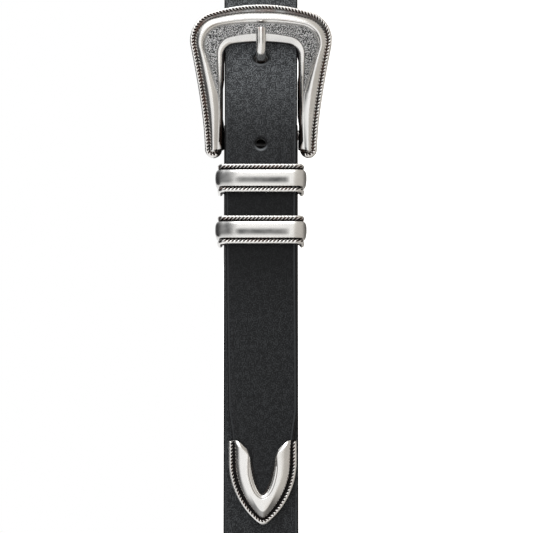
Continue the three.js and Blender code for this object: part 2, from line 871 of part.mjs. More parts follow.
function tipOutline( inset ) {

	const right = [ new THREE.Vector2( TIP_ARM_X, TIP_HALF - inset ), ...tipEdge( inset ) ];
	const left = right.map( ( point ) => new THREE.Vector2( point.x, - point.y ) ).reverse();
	return right.concat( left ).map( ( point ) => new THREE.Vector2( point.x, point.y + TIP_Z ) );

}

// The cut between the tip's two arms: slanted arm ends, then a notch with a round bottom.
function notchOutline() {

	const curve = new THREE.CubicBezierCurve(
		new THREE.Vector2( NOTCH_TOP_X, NOTCH_HALF ),
		new THREE.Vector2( NOTCH_TOP_X - NOTCH_SIDE, NOTCH_HALF ),
		new THREE.Vector2( NOTCH_BOTTOM_X, NOTCH_BOTTOM_HALF ),
		new THREE.Vector2( NOTCH_BOTTOM_X, 0 )
	);
	const slant = [
		new THREE.Vector2( TIP_ARM_X + ARM_END_SLANT, TIP_HALF + 1 ),
		new THREE.Vector2( TIP_ARM_X, ARM_END_HALF ),
		new THREE.Vector2( TIP_ARM_X - ARM_END_SLANT, ARM_MIDDLE_HALF )
	];
	const right = slant.concat( curve.getPoints( 7 ) );
	const left = right.slice( 0, - 1 ).map( ( point ) => new THREE.Vector2( point.x, - point.y ) ).reverse();
	return right.concat( left ).map( ( point ) => new THREE.Vector2( point.x, point.y + TIP_Z ) );

}

function tip() {

	const middle = BILLET_DEPTH + BILLET_TIP_LIFT;
	const low = middle - TIP_LEATHER / 2 - CLEARANCE;
	const high = middle + TIP_LEATHER / 2 + CLEARANCE;
	const shell = plate( tipOutline( 0.2 ), low - TIP_WALL, high + TIP_FACE );
	const crown = [
		{ inset: 2.4, depth: high + TIP_FACE - 0.3 },
		{ inset: 3.6, depth: high + TIP_FACE + 0.75 * TIP_CREST },
		{ inset: 5.6, depth: high + TIP_FACE + 0.95 * TIP_CREST },
		{ inset: 8.5, depth: high + TIP_FACE + TIP_CREST }
	].map( ( row ) => tipOutline( row.inset )
		.map( ( point ) => at( point.x, row.depth, point.y ) ) );
	const pocket = plate( tipOutline( TIP_WALL + 0.2 ), low, high );
	const notch = plate( notchOutline(), low, high + 2 * ( TIP_FACE + TIP_CREST ) );
	const path = tipOutline( ROPE_RADIUS ).map( ( point ) => at( point.x, high + TIP_ROPE_RISE, point.y ) );
	return joined( [ shell, loft( crown ), rope( path, ROPE_RADIUS ) ] )
		.subtract( pocket )
		.subtract( notch );

}

// The belt

const belt = new THREE.Group();
belt.add( meshOf( 'strap', strap(), leather ) );
belt.add( meshOf( 'buckle_frame', buckleFrame(), silver ) );
belt.add( meshOf( 'prong', prong(), silver ) );
for ( const { name, x } of KEEPERS ) belt.add( meshOf( name, keeper( x ), silver ) );
belt.add( meshOf( 'tip', tip(), silver ) );
belt.rotation.set( REST_TURN_X, REST_TURN_Y, 0 );

// the middle of the footprint comes to the origin, and the lowest point to the floor
const bounds = new THREE.Box3().setFromObject( belt, true );
const middle = bounds.getCenter( new THREE.Vector3() );
belt.position.set( - middle.x, - middle.y, - bounds.min.z );

const part = new THREE.Group();
part.add( belt );

export default part;
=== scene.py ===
# %% [markdown]
# # A western belt, worked as its makers work it
# The belt is one leather strap with a cast silver-coloured buckle, a prong, two keepers and a
# metal tip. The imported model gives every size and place. This lesson makes each piece again in
# fine detail, always in the same three moves: lay out a flat sheet, give each of its vertices a
# place with one short function, and close the seam. A strap cutter bends a strip, and a wax
# modeller rolls and files wax before it is cast, so this comes close to how the real pieces
# are made.

# %% Load the fixed frame
import math
from bisect import bisect_right

import bmesh
import bpy
from mathutils import Matrix, Vector


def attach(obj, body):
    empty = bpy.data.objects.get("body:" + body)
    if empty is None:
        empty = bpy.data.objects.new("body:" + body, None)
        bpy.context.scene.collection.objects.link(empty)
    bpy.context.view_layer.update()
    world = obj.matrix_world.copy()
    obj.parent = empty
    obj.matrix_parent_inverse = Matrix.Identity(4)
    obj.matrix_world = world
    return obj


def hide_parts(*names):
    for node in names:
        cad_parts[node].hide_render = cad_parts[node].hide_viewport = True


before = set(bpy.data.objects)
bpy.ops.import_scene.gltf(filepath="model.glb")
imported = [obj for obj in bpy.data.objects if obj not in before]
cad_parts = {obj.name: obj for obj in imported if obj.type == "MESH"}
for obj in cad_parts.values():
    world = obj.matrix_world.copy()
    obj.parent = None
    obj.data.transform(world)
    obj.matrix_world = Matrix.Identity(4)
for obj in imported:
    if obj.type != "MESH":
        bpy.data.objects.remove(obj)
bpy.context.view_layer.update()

# %% [markdown]
# ## The belt's own frame
# The closed belt stands on its edge and leans a little, until the buckle's side touches the
# floor. It would be awkward to shape every piece on a slant, so everything is drawn upright in
# millimetres: x runs along the front towards the buckle, depth is measured from the strap
# towards the viewer, and z runs across. One matrix then takes a finished piece to its place.

# %% The belt's frame
LEAN_ABOUT_X = math.radians(-1.677)
LEAN_ABOUT_Y = math.radians(-2.5)
FRONT_Y = -98.789
MIDDLE_Z = 26.267
MM = 0.001  # a millimetre, in metres
METRES = Matrix.Scale(MM, 4)
REST = (
    METRES
    @ Matrix.Translation((0, FRONT_Y, MIDDLE_Z))
    @ Matrix.Rotation(LEAN_ABOUT_X, 4, "X")
    @ Matrix.Rotation(LEAN_ABOUT_Y, 4, "Y")
)
print("the belt leans by", round(math.degrees(math.hypot(LEAN_ABOUT_X, LEAN_ABOUT_Y)), 1), "degrees")


def spot(x, depth, across):
    """A point of the belt's own frame, in millimetres."""
    return Vector((x, -depth, across))


# %% Sizes that more than one piece uses
STRAP_WIDTH = 32.0
STRAP_THICKNESS = 3.0
FOLD_THICKNESS = 2.2
FLAP_END_THICKNESS = 1.4
LAYER_GAP = 0.4
CLEARANCE = 0.3
FRONT_HALF = 116.0
BILLET_DEPTH = STRAP_THICKNESS + LAYER_GAP
BILLET_TIP_LIFT = 0.8
HOLE_X = 91.6
HOLE_PITCH = 38.2
BUCKLE_TOP_X = 114.9
BAR_X = 58.5
BAR_RADIUS = 2.2
BAR_DEPTH = STRAP_THICKNESS / 2 - FOLD_THICKNESS - CLEARANCE - BAR_RADIUS
TIP_ARM_X = -75.0
TIP_POINT_X = -110.4
TIP_HALF = 14.5
TIP_Z = -0.8
TIP_WALL = 0.8
TIP_LEATHER = 2.4
print("strap:", STRAP_WIDTH, "mm wide and", STRAP_THICKNESS, "mm thick")

# %% [markdown]
# ## Sheets, tubes and pieces
# `sheet` is Blender's plain grid with its corners at 0 and 1. `shape` asks a function where each
# vertex goes, and also how dark with old polish and painted shade and how sandblasted the metal is
# there, where the sandblast number also paints shade and dark reflections as a dull grey: the two
# numbers stay on the vertices, and the metal's material reads them. A sheet whose two long edges
# land on the same points is a tube once its doubles are merged.


# %% Numbers between numbers
def mix(low, high, share):
    return low + (high - low) * share


def smoothstep(value, start, end):
    share = min(max((value - start) / (end - start), 0.0), 1.0)
    return share * share * (3 - 2 * share)


def fade(value, start, end):
    return 1 - smoothstep(value, start, end)


def reading(rows, place):
    """The numbers of a table at a place, from its rows of (place, number, ...)."""
    i = min(max(bisect_right(rows, place, key=lambda row: row[0]), 1), len(rows) - 1)
    (start, *low), (end, *high) = rows[i - 1], rows[i]
    share = (place - start) / (end - start)
    return [mix(a, b, share) for a, b in zip(low, high)]


# %% From a flat sheet to a finished piece
MERGE = 0.001  # vertices that are closer than this, in millimetres, become one


def sheet(columns, rows):
    """A flat grid with its corners at 0 and 1."""
    bm = bmesh.new()
    bmesh.ops.create_grid(bm, x_segments=columns, y_segments=rows, size=0.5)
    bmesh.ops.translate(bm, verts=bm.verts, vec=(0.5, 0.5, 0))
    return bm


def shape(bm, place):
    """Moves each vertex at u, v to place(u, v) = (position, darkness, sandblast), where both numbers also
    paint shade.
    """
    dark = bm.verts.layers.float.new("dark")
    blast = bm.verts.layers.float.new("blast")
    for vert in bm.verts:
        vert.co, vert[dark], vert[blast] = place(vert.co.x, vert.co.y)
    return bm


def closed(bm):
    """Merges the seams, drops what has shrunk to nothing, and turns all faces outwards."""
    bmesh.ops.remove_doubles(bm, verts=bm.verts, dist=MERGE)
    bmesh.ops.dissolve_degenerate(bm, edges=bm.edges, dist=MERGE)
    bmesh.ops.holes_fill(bm, edges=[edge for edge in bm.edges if edge.is_boundary], sides=0)
    bmesh.ops.recalc_face_normals(bm, faces=bm.faces)
    return bm


def mesh_of(bm, name):
    mesh = bpy.data.meshes.new(name)
    bm.to_mesh(mesh)
    bm.free()
    return mesh


def put(name, data):
    """Puts an object into the scene, at the origin."""
    made = bpy.data.objects.new(name, data)
    bpy.context.scene.collection.objects.link(made)
    return made


def piece(bm, name, materials, node, sharp):
    """A finished piece: placed in the frame, shaded, and riding on the belt for its CAD node."""
    bm.transform(REST)
    open_edges = sum(edge.is_boundary for edge in bm.edges)
    mesh = mesh_of(bm, name)
    mesh.shade_smooth()
    mesh.set_sharp_from_angle(angle=math.radians(sharp))
    for material in materials:
        mesh.materials.append(material)
    made = put(name, mesh)
    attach(made, "root")
    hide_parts(node)
    print(f"{name}: {len(mesh.polygons)} faces, {open_edges} open edges")


# %% A smooth curve
def glide(knots, place):
    """A smooth curve through rows of numbers; place counts the rows."""
    i = min(int(place), len(knots) - 2)
    share = place - i
    before = knots[max(i - 1, 0)]
    low, high = knots[i], knots[i + 1]
    after = knots[min(i + 2, len(knots) - 1)]
    return [
        0.5 * (2 * b + (c - a) * share + (2 * a - 5 * b + 4 * c - d) * share**2
               + (3 * b - a - 3 * c + d) * share**3)
        for a, b, c, d in zip(before, low, high, after)
    ]


# %% [markdown]
# ## A course
# A strap, a rope or a prong is easiest to make straight and is then bent along its course. A
# course is a row of stations, each with its place and two directions, side and up. A vertex at
# (distance, side, up) lands at the station that lies that far along.


# %% Courses
FINER = 8  # stations of the smooth curve for each one of the rough line


class Course:
    def __init__(self, points, up_at):
        self.points = points
        self.distances = [0.0]
        for here, after in zip(points, points[1:]):
            self.distances.append(self.distances[-1] + (after - here).length)
        self.length = self.distances[-1]
        self.sides = []
        self.ups = []
        for i in range(len(points)):
            along = points[min(i + 1, len(points) - 1)] - points[max(i - 1, 0)]
            along.normalize()
            side = up_at(points[i]).cross(along).normalized()
            self.sides.append(side)
            self.ups.append(along.cross(side))

    def at(self, distance, side, up):
        i = min(max(bisect_right(self.distances, distance) - 1, 0), len(self.points) - 2)
        span = self.distances[i + 1] - self.distances[i]
        share = (distance - self.distances[i]) / span
        place = self.points[i].lerp(self.points[i + 1], share)
        sideways = self.sides[i].lerp(self.sides[i + 1], share).normalized()
        upwards = self.ups[i].lerp(self.ups[i + 1], share).normalized()
        return place + sideways * side + upwards * up


def evenly(points, step):
    """The same line, with its stations an even step apart on a smooth curve."""
    rough = [tuple(point) for point in points]
    dense = [Vector(glide(rough, i / FINER)) for i in range(FINER * (len(rough) - 1) + 1)]
    course = Course(dense, lambda point: Vector((0, -1, 0.001)))
    count = max(2, round(course.length / step))
    return [course.at(course.length * i / count, 0, 0) for i in range(count + 1)]


# %% [markdown]
# ## Silver that has aged
# The castings are polished where a buffing wheel reaches them and left black in the hollows,
# which is what makes cast relief readable. One node group turns the vertices' two numbers into
# colour, roughness and height. More darkness means more old polish, first brown and then black,
# and the same darkness also paints shade where no light reaches. A little sandblast makes the
# metal dull and softly mottled, and the full amount makes it speckled and rough; on the keepers
# and the left leg that dull grey is painted shade and dark reflection. Noise breaks up every
# border. Colours that vary go through the group, and plain numbers stay on the shader.


# %% Wires between nodes
class Wire:
    """What comes out of a node's socket; sums with it add Math nodes."""

    def __init__(self, socket):
        self.socket = socket
        self.tree = socket.id_data

    def maths(self, operation, *values):
        inputs = {f"i{i}": value for i, value in enumerate(values)}
        return out_of(self.tree, "ShaderNodeMath", 0, {"operation": operation}, **inputs)

    def __add__(self, other):
        return self.maths("ADD", self, other)

    def __sub__(self, other):
        return self.maths("SUBTRACT", self, other)

    def __rsub__(self, other):
        return self.maths("SUBTRACT", other, self)

    def __mul__(self, other):
        return self.maths("MULTIPLY", self, other)

    def __abs__(self):
        return self.maths("ABSOLUTE", self)


def feed(node, **inputs):
    """Sets sockets by name, or by place as i0, i1 and so on: a wire is linked, and a number or
    colour is set."""
    for name, value in inputs.items():
        socket = node.inputs[int(name[1:]) if name[1:].isdigit() else name.replace("_", " ")]
        if isinstance(value, Wire):
            node.id_data.links.new(value.socket, socket)
        else:
            socket.default_value = value
    return node


def out_of(tree, kind, output=0, settings=None, **inputs):
    """Adds a node with its settings and inputs, and gives one of its outputs."""
    node = tree.nodes.new(kind)
    for name, value in (settings or {}).items():
        setattr(node, name, value)
    return Wire(feed(node, **inputs).outputs[output])


# %% What the finishes are mixed from
def greatest(first, *others):
    for other in others:
        first = first.maths("MAXIMUM", first, other)
    return first


def mix_in(share, low, high):
    return share.maths("MULTIPLY_ADD", share, high - low, low)


def ramp(value, low, high, to_low=0.0, to_high=1.0):
    return out_of(value.tree, "ShaderNodeMapRange", 0, {"interpolation_type": "SMOOTHSTEP"},
                  i0=value, i1=low, i2=high, i3=to_low, i4=to_high)


def blend_colours(share, low, high):
    return out_of(share.tree, "ShaderNodeMix", 2, {"data_type": "RGBA"}, i0=share, i6=low, i7=high)


def cloud(where, scale, detail=3.0):
    return out_of(where.tree, "ShaderNodeTexNoise", Vector=where, Scale=scale, Detail=detail)


def relief(height, depth):
    """The surface's tilt where a height rises and falls, depth millimetres deep."""
    return out_of(height.tree, "ShaderNodeBump", "Normal", Height=height, Distance=depth * MM,
                  Strength=1.0)


def object_place(tree):
    return out_of(tree, "ShaderNodeTexCoord", "Object")


def number_on(tree, name):
    """A number that the mesh keeps on its vertices."""
    return out_of(tree, "ShaderNodeAttribute", "Fac", {"attribute_name": name})


def new_finish(name):
    """A new material, with its tree and its shader."""
    made = bpy.data.materials.new(name)
    made.use_nodes = True
    return made, made.node_tree, made.node_tree.nodes["Principled BSDF"]


# %% Node groups
COLOUR = "NodeSocketColor"
NUMBER = "NodeSocketFloat"
VECTOR = "NodeSocketVector"


def new_group(name, inputs, outputs):
    """A node group with named sockets, its inputs as wires, and the node that its outputs go to."""
    group = bpy.data.node_groups.new(name, "ShaderNodeTree")
    for in_out, sockets in (("INPUT", inputs), ("OUTPUT", outputs)):
        for title, kind in sockets.items():
            group.interface.new_socket(title, in_out=in_out, socket_type=kind)
    given = group.nodes.new("NodeGroupInput")
    return group, [Wire(given.outputs[title]) for title in inputs], group.nodes.new("NodeGroupOutput")


def use_group(tree, group, **inputs):
    """Places a group in a material, and gives its outputs by name."""
    node = tree.nodes.new("ShaderNodeGroup")
    node.node_tree = group
    return {output.name: Wire(output) for output in feed(node, **inputs).outputs}


# %% The aged silver finish
CLEAN_SILVER = (0.93, 0.92, 0.90, 1)
WORN_SILVER = (0.80, 0.79, 0.77, 1)
PIT = (0.22, 0.21, 0.20, 1)
# also the even grey that paints shade and dark reflections on the keepers and the left leg
DULL_AND_SHADED_SILVER = (0.095, 0.096, 0.097, 1)
BLASTED_GRAIN = (0.54, 0.54, 0.54, 1)
BLASTED_HOLLOW = (0.036, 0.037, 0.038, 1)
BROWN_POLISH = (0.16, 0.105, 0.085, 1)
GREY_POLISH = (0.05, 0.045, 0.042, 1)
BLACK_POLISH = (0.012, 0.011, 0.011, 1)
CLOUDS_PER_METRE = 160.0
GRAINS_PER_METRE = 2600.0


def aged_silver_group():
    group, (where, dark, blast, shine), end = new_group(
        "aged silver",
        {"Where": VECTOR, "Dark": NUMBER, "Blast": NUMBER, "Shine": NUMBER},
        {"Colour": COLOUR, "Roughness": NUMBER, "Height": NUMBER},
    )
    broad = cloud(where, CLOUDS_PER_METRE, 4.0)
    grit = cloud(where, GRAINS_PER_METRE, 2.0)

    # the hollows' edge wanders with the noise
    tarnish = ramp(dark + (broad - 0.5) * 0.5, 0.25, 0.85)
    brown = blend_colours(ramp(broad, 0.40, 0.60), GREY_POLISH, BROWN_POLISH)
    soot = blend_colours(ramp(dark, 0.88, 0.98), brown, BLACK_POLISH)

    # polished, dull and mottled, or speckled at the full sandblast; the dull grey also paints shade and
    # dark reflections
    bright = blend_colours(broad, WORN_SILVER, CLEAN_SILVER)
    polished = blend_colours(ramp(grit, 0.74, 0.8), bright, PIT)
    speckle = blend_colours(ramp(grit, 0.46, 0.59), BLASTED_HOLLOW, BLASTED_GRAIN)
    full = ramp(blast, 0.9, 1.0)
    ground = blend_colours(full, DULL_AND_SHADED_SILVER, speckle)
    mottled = (broad - 0.56) * (blast * (1.0 - full))
    metal = blend_colours(blast + mottled, polished, ground)

    rough = greatest(blast * 0.42, tarnish * 0.55, shine + ramp(broad, 0.3, 0.7, 0.0, 0.08))
    feed(end, Colour=blend_colours(tarnish, metal, soot), Roughness=rough, Height=grit * (full + 0.12))
    return group


AGED_SILVER = aged_silver_group()


def silver(name, shine, depth):
    """A silver finish: its shine, and how deep its small texture is, in millimetres."""
    made, tree, shader = new_finish(name)
    aged = use_group(tree, AGED_SILVER, Where=object_place(tree), Dark=number_on(tree, "dark"),
                     Blast=number_on(tree, "blast"), Shine=shine)
    feed(shader, Base_Color=aged["Colour"], Roughness=aged["Roughness"],
         Normal=relief(aged["Height"], depth), Metallic=1.0)
    return made


CAST_SILVER = silver("cast silver", 0.2, 0.08)
ROPE_SILVER = silver("rope silver", 0.24, 0.06)
print("silver finishes:", CAST_SILVER.name, "and", ROPE_SILVER.name)


# %% [markdown]
# ## Black leather
# Full-grain strap leather has a pebbled grain side, a fibrous flesh side, and cut edges that are
# painted and rubbed smooth. The strap carries its own UV map in metres, u along and v across, so
# the grain follows the leather round every bend. Two numbers on the vertices finish it: `grain`
# says where the leather is stretched and coarse, as it is near the buckle, and the same number
# paints the leather lighter there, where more light falls, and darker in the keepers' shade and
# round the holes; a second number paints a highlight on the side of a hole's rim that faces the
# light.


# %% The pebbled grain
def pebble_group():
    group, (where, coarse_and_lit), end = new_group(
        "pebbled grain",
        {"Where": VECTOR, "Coarse": NUMBER},
        {"Height": NUMBER, "Wear": NUMBER, "Crease": NUMBER},
    )
    cells = out_of(group, "ShaderNodeTexVoronoi", "Distance", {"feature": "SMOOTH_F1"}, Vector=where,
                   Scale=1050.0, Smoothness=0.5)
    small = cloud(where, 2300.0)
    soft = cloud(where, 420.0)

    # creases run across the strap where it is stretched, and their colour is painted darker, as the shade
    # in a crease
    stretched = out_of(group, "ShaderNodeMapping", Vector=where, Scale=(1.0, 0.22, 1.0))
    creases = ramp(cloud(stretched, 210.0, 2.0), 0.56, 0.64) * coarse_and_lit

    grains = small * mix_in(coarse_and_lit, 0.22, 0.8)
    pebbles = cells * mix_in(coarse_and_lit, 0.18, 0.85)
    height = grains - pebbles + soft * 0.5 - creases * 0.35
    # painted highlights: light specks stand for glints on the grain's tops
    glint_specks = ramp(cloud(where, 1800.0, 2.0) + (soft - 0.5) * 0.35, 0.45, 0.62)
    feed(end, Height=height, Wear=glint_specks, Crease=creases)
    return group


PEBBLED_GRAIN = pebble_group()
print("node groups:", AGED_SILVER.name, "and", PEBBLED_GRAIN.name)


# %% The leather finishes
LINE_ACROSS = 0.0149  # metres from the strap's middle
LINE_HALVES = (0.0002, 0.0005)
LINE_TONE = 0.1


def painted_edge_highlight(place):
    """A painted highlight: a thin light line along each edge, at the crease."""
    across = out_of(place.tree, "ShaderNodeSeparateXYZ", 1, Vector=place)
    return ramp(abs(abs(across) - LINE_ACROSS), *LINE_HALVES, LINE_TONE, 0.0)


def leather(name, smooth, deep, glint, rough, depth):
    """A leather finish: its colour where smooth, where its grain is coarser and lit, and on the
    painted glints of its grain, its roughness, and how deep its grain is in millimetres."""
    made, tree, shader = new_finish(name)
    place = out_of(tree, "ShaderNodeUVMap", 0, {"uv_map": "strap"})
    coarse_and_lit = number_on(tree, "grain")
    grain = use_group(tree, PEBBLED_GRAIN, Where=place, Coarse=coarse_and_lit)
    base = blend_colours(grain["Crease"] * 0.5, blend_colours(coarse_and_lit, smooth, deep), smooth)
    # painted highlights: glints on the grain, a light line along each edge, and the lit side of each
    # hole's rim
    painted_highlights = greatest(grain["Wear"] * mix_in(coarse_and_lit, 0.03, 0.62), painted_edge_highlight(place),
                    number_on(tree, "rim_highlight"))
    feed(shader, Base_Color=blend_colours(painted_highlights, base, glint), Roughness=rough,
         Normal=relief(grain["Height"], depth), Specular_IOR_Level=0.15)
    return made


GRAIN_SIDE = leather("black grain leather", (0.0045, 0.0049, 0.0056, 1), (0.034, 0.037, 0.041, 1),
                     (0.25, 0.268, 0.285, 1), 0.55, 0.3)
FLESH_SIDE = leather("black flesh side", (0.02, 0.019, 0.018, 1), (0.022, 0.021, 0.02, 1),
                     (0.06, 0.058, 0.055, 1), 0.85, 0.25)
CUT_EDGE = leather("painted leather edge", (0.006, 0.006, 0.007, 1), (0.007, 0.007, 0.008, 1),
                   (0.02, 0.02, 0.021, 1), 0.42, 0.08)
print("leather finishes:", ", ".join(finish.name for finish in (GRAIN_SIDE, FLESH_SIDE, CUT_EDGE)))

# %% [markdown]
# ## The strap's course
# The strap starts at the pointed end inside the tip and runs along the front, round the two
# corners and the wide back, and along the front again under itself. There it turns back round
# the buckle's heel bar and ends as a short flap. In plan that is one line, with the leather's
# thickness noted at each station.

# %% The strap's course
CORNER_ARCS = [(54.0, 70.0), (86.0, 45.0)]  # radius, and degrees turned
ARC_STEP = 2.5  # degrees
LIFT_START_X = -32.0
LIFT_END_X = -68.0
SKIVE_START_X = 5.0
SKIVE_END_X = 45.0
FOLD_RADIUS = BAR_RADIUS + CLEARANCE + FOLD_THICKNESS / 2
FOLD_STEPS = 24
FLAP_CLOSE_X = 45.0
FLAP_END_X = -2.0
FLAP_THINS = 12.0  # millimetres before its end
FLAP_STATION = 1.25
STATION = 1.5


def billet_depth(x):
    lift = BILLET_TIP_LIFT * smoothstep(-x, -LIFT_START_X, -LIFT_END_X)
    drop = BILLET_DEPTH * smoothstep(x, BAR_X + 1, HOLE_X + 2)
    return BILLET_DEPTH + lift - drop


def plan_half():
    """The loop in plan, from the end of the straight front to the middle of the back."""
    x, y, turned = FRONT_HALF, 0.0, 0.0
    points = [(x, y)]
    arcs = [(radius, math.radians(turn)) for radius, turn in CORNER_ARCS]
    while arcs:
        radius, turn = arcs.pop(0)
        steps = round(math.degrees(turn) / ARC_STEP)
        for i in range(1, steps + 1):
            angle = turned + turn * i / steps
            points.append((x + radius * (math.sin(angle) - math.sin(turned)),
                           y + radius * (math.cos(turned) - math.cos(angle))))
        x, y = points[-1]
        turned += turn
        if not arcs and turned < math.pi - 0.01:
            arcs.append((x / math.sin(turned), math.pi - turned))
    return points


def skived(x):
    """The strap's thickness towards its fold, where the leather is pared down."""
    return mix(STRAP_THICKNESS, FOLD_THICKNESS, smoothstep(x, SKIVE_START_X, SKIVE_END_X))


def steps_between(start, end, step):
    count = max(1, round(abs(end - start) / step))
    return [mix(start, end, i / count) for i in range(count)]


# %% The strap's stations
def strap_stations():
    """Rows of x, y and the leather's thickness: the billet, the loop, the fold and the flap."""
    stations = []
    for x in steps_between(TIP_POINT_X + 3, FRONT_HALF, STATION):
        thickness = mix(STRAP_THICKNESS, TIP_LEATHER, smoothstep(-x, -TIP_ARM_X - 4, -TIP_ARM_X))
        stations.append((x, -billet_depth(x), thickness))
    half = plan_half()
    stations += [(x, y, STRAP_THICKNESS) for x, y in half]
    stations += [(-x, y, STRAP_THICKNESS) for x, y in reversed(half[:-1])]
    for x in steps_between(-FRONT_HALF + STATION, BAR_X, STATION):
        stations.append((x, (skived(x) - STRAP_THICKNESS) / 2, skived(x)))
    for i in range(FOLD_STEPS + 1):
        angle = math.pi * i / FOLD_STEPS
        y = -BAR_DEPTH - FOLD_RADIUS * math.cos(angle)
        stations.append((BAR_X + FOLD_RADIUS * math.sin(angle), y, FOLD_THICKNESS))
    far = -BAR_DEPTH + FOLD_RADIUS
    near = STRAP_THICKNESS / 2 + LAYER_GAP + FOLD_THICKNESS / 2
    for x in steps_between(BAR_X - 1, FLAP_END_X, FLAP_STATION):
        end = smoothstep(-x, -FLAP_END_X - FLAP_THINS, -FLAP_END_X)
        thickness = mix(FOLD_THICKNESS, FLAP_END_THICKNESS, end)
        y = mix(near, far, smoothstep(x, FLAP_CLOSE_X, BAR_X))
        stations.append((x, y + (thickness - FOLD_THICKNESS) / 2, thickness))
    return stations


STATIONS = strap_stations()
strap_course = Course([Vector((x, y, 0)) for x, y, thickness in STATIONS], lambda p: Vector((0, 0, 1)))
FRONT_START = STATIONS[0][0]
LOOP_END = next(i for i in range(len(STATIONS) // 2, len(STATIONS))
                if STATIONS[i][0] >= BAR_X - STATION)
THICKNESSES = [(distance, station[2]) for distance, station in zip(strap_course.distances, STATIONS)]
print("strap length:", round(strap_course.length, 1), "mm, loop to the bar at",
      round(strap_course.distances[LOOP_END], 1))

# %% [markdown]
# ## Cutting the strap
# A strap is cut, its edges are rounded, a crease is run along both edges, and the holes are
# punched, all while it lies flat. So the sheet is worked flat too: its rows stand close where
# the crease runs, a block of faces is swapped for a ring of quads round each hole, and one
# extrusion gives the thickness. Only then is every vertex laid on the course.

# %% Half widths, creases and holes
BILLET_HALF_AT_BUCKLE = 16.0
BILLET_HALF_AT_TIP = 14.8
BILLET_INSET = TIP_WALL + 2 * CLEARANCE
TUCK_LENGTH = 15.0
TIP_ARC_RADIUS = 33.5
TIP_ARC_START_X = -83.8
ROWS_ACROSS = [0, 2.5, 5, 7.5, 9.5, 11.2, 12.6, 13.6, 14.05, 14.3, 14.5, 14.7, 14.95,
               15.2, 15.5, 15.75, 15.92, 16.0]
CREASE_AT = 14.7
CREASE_DEPTH = 0.15
HOLE_RADIUS = 2.2
PRONG_HOLE_HALVES = (2.25, 2.9)


def billet_half(x):
    """Half the billet's width: an even taper, a tuck before the tip, then the tip's own curve."""
    taper = mix(BILLET_HALF_AT_BUCKLE, BILLET_HALF_AT_TIP, (FRONT_HALF - x) / (FRONT_HALF - TIP_ARM_X))
    tuck = BILLET_HALF_AT_TIP - (TIP_HALF - BILLET_INSET)
    if x > TIP_ARM_X:
        return taper - tuck * smoothstep(-x, -TIP_ARM_X - TUCK_LENGTH, -TIP_ARM_X)
    if x > TIP_ARC_START_X:
        return TIP_HALF - BILLET_INSET
    reach = TIP_ARC_START_X - x
    return TIP_HALF - TIP_ARC_RADIUS + math.sqrt((TIP_ARC_RADIUS - BILLET_INSET) ** 2 - reach**2)


def half_width(distance):
    x = FRONT_START + distance
    return billet_half(x) if x < FRONT_HALF else STRAP_WIDTH / 2


def thickness_at(distance):
    return reading(THICKNESSES, distance)[0]


def distance_of(x):
    """The distance along the strap of a place on the billet."""
    i = next(i for i, station in enumerate(STATIONS) if station[0] >= x)
    return reading([(STATIONS[k][0], strap_course.distances[k]) for k in (i - 1, i)], x)[0]


HOLES = []
for index in range(-2, 3):
    place = distance_of(HOLE_X) + index * HOLE_PITCH
    HOLES.append((place, *(PRONG_HOLE_HALVES if index == 0 else (HOLE_RADIUS, HOLE_RADIUS))))
print("holes:", [round(place, 1) for place, *halves in HOLES], "mm along the strap")


# %% The strap's relief
EDGE_ROUND = 0.8
CREASE_HALF = 0.5
RIM_REACH = 0.3  # the pressed rim of a hole, as a share of its radius
RIM_DEPTH = 0.5


def edge_drop(across):
    """How far the rounded edge and the crease lie below the grain side."""
    past = max(abs(across) - (STRAP_WIDTH / 2 - EDGE_ROUND), 0)
    rounding = EDGE_ROUND - math.sqrt(max(EDGE_ROUND**2 - past**2, 0))
    groove = max(0.0, 1 - ((abs(across) - CREASE_AT) / CREASE_HALF) ** 2)
    return rounding, CREASE_DEPTH * groove**1.5


def nearest_hole(distance, across):
    """How far the nearest hole is, and how far along the strap, as shares of its radius."""
    return min((math.hypot((distance - place) / half_long, across / half_wide),
                (distance - place) / half_long) for place, half_long, half_wide in HOLES)


def flat_sheet():
    columns = round(strap_course.length / STATION)
    rows = 2 * (len(ROWS_ACROSS) - 1)
    bm = sheet(columns, rows)
    for vert in bm.verts:
        row = round(vert.co.y * rows) - rows // 2
        across = math.copysign(ROWS_ACROSS[abs(row)], row)
        vert.co = (vert.co.x * strap_course.length, across, 0)
    return bm


# %% Punch the holes
SLOT_HALVES = (11.0, 4.0)
SLOT_SQUARENESS = 0.4
SLOT_PLACE = strap_course.distances[LOOP_END] + STATION + math.pi * FOLD_RADIUS / 2
PUNCH_MARGIN = 2.2
HOLES_WITHIN = 10.0  # millimetres from the strap's middle; its own edges lie farther out
PUNCH_RINGS = (1.7, 1 + RIM_REACH, 1.15, 1.0)


def squared(value, power):
    return math.copysign(abs(value) ** power, value)


def only(geometry, kind):
    return [item for item in geometry if isinstance(item, kind)]


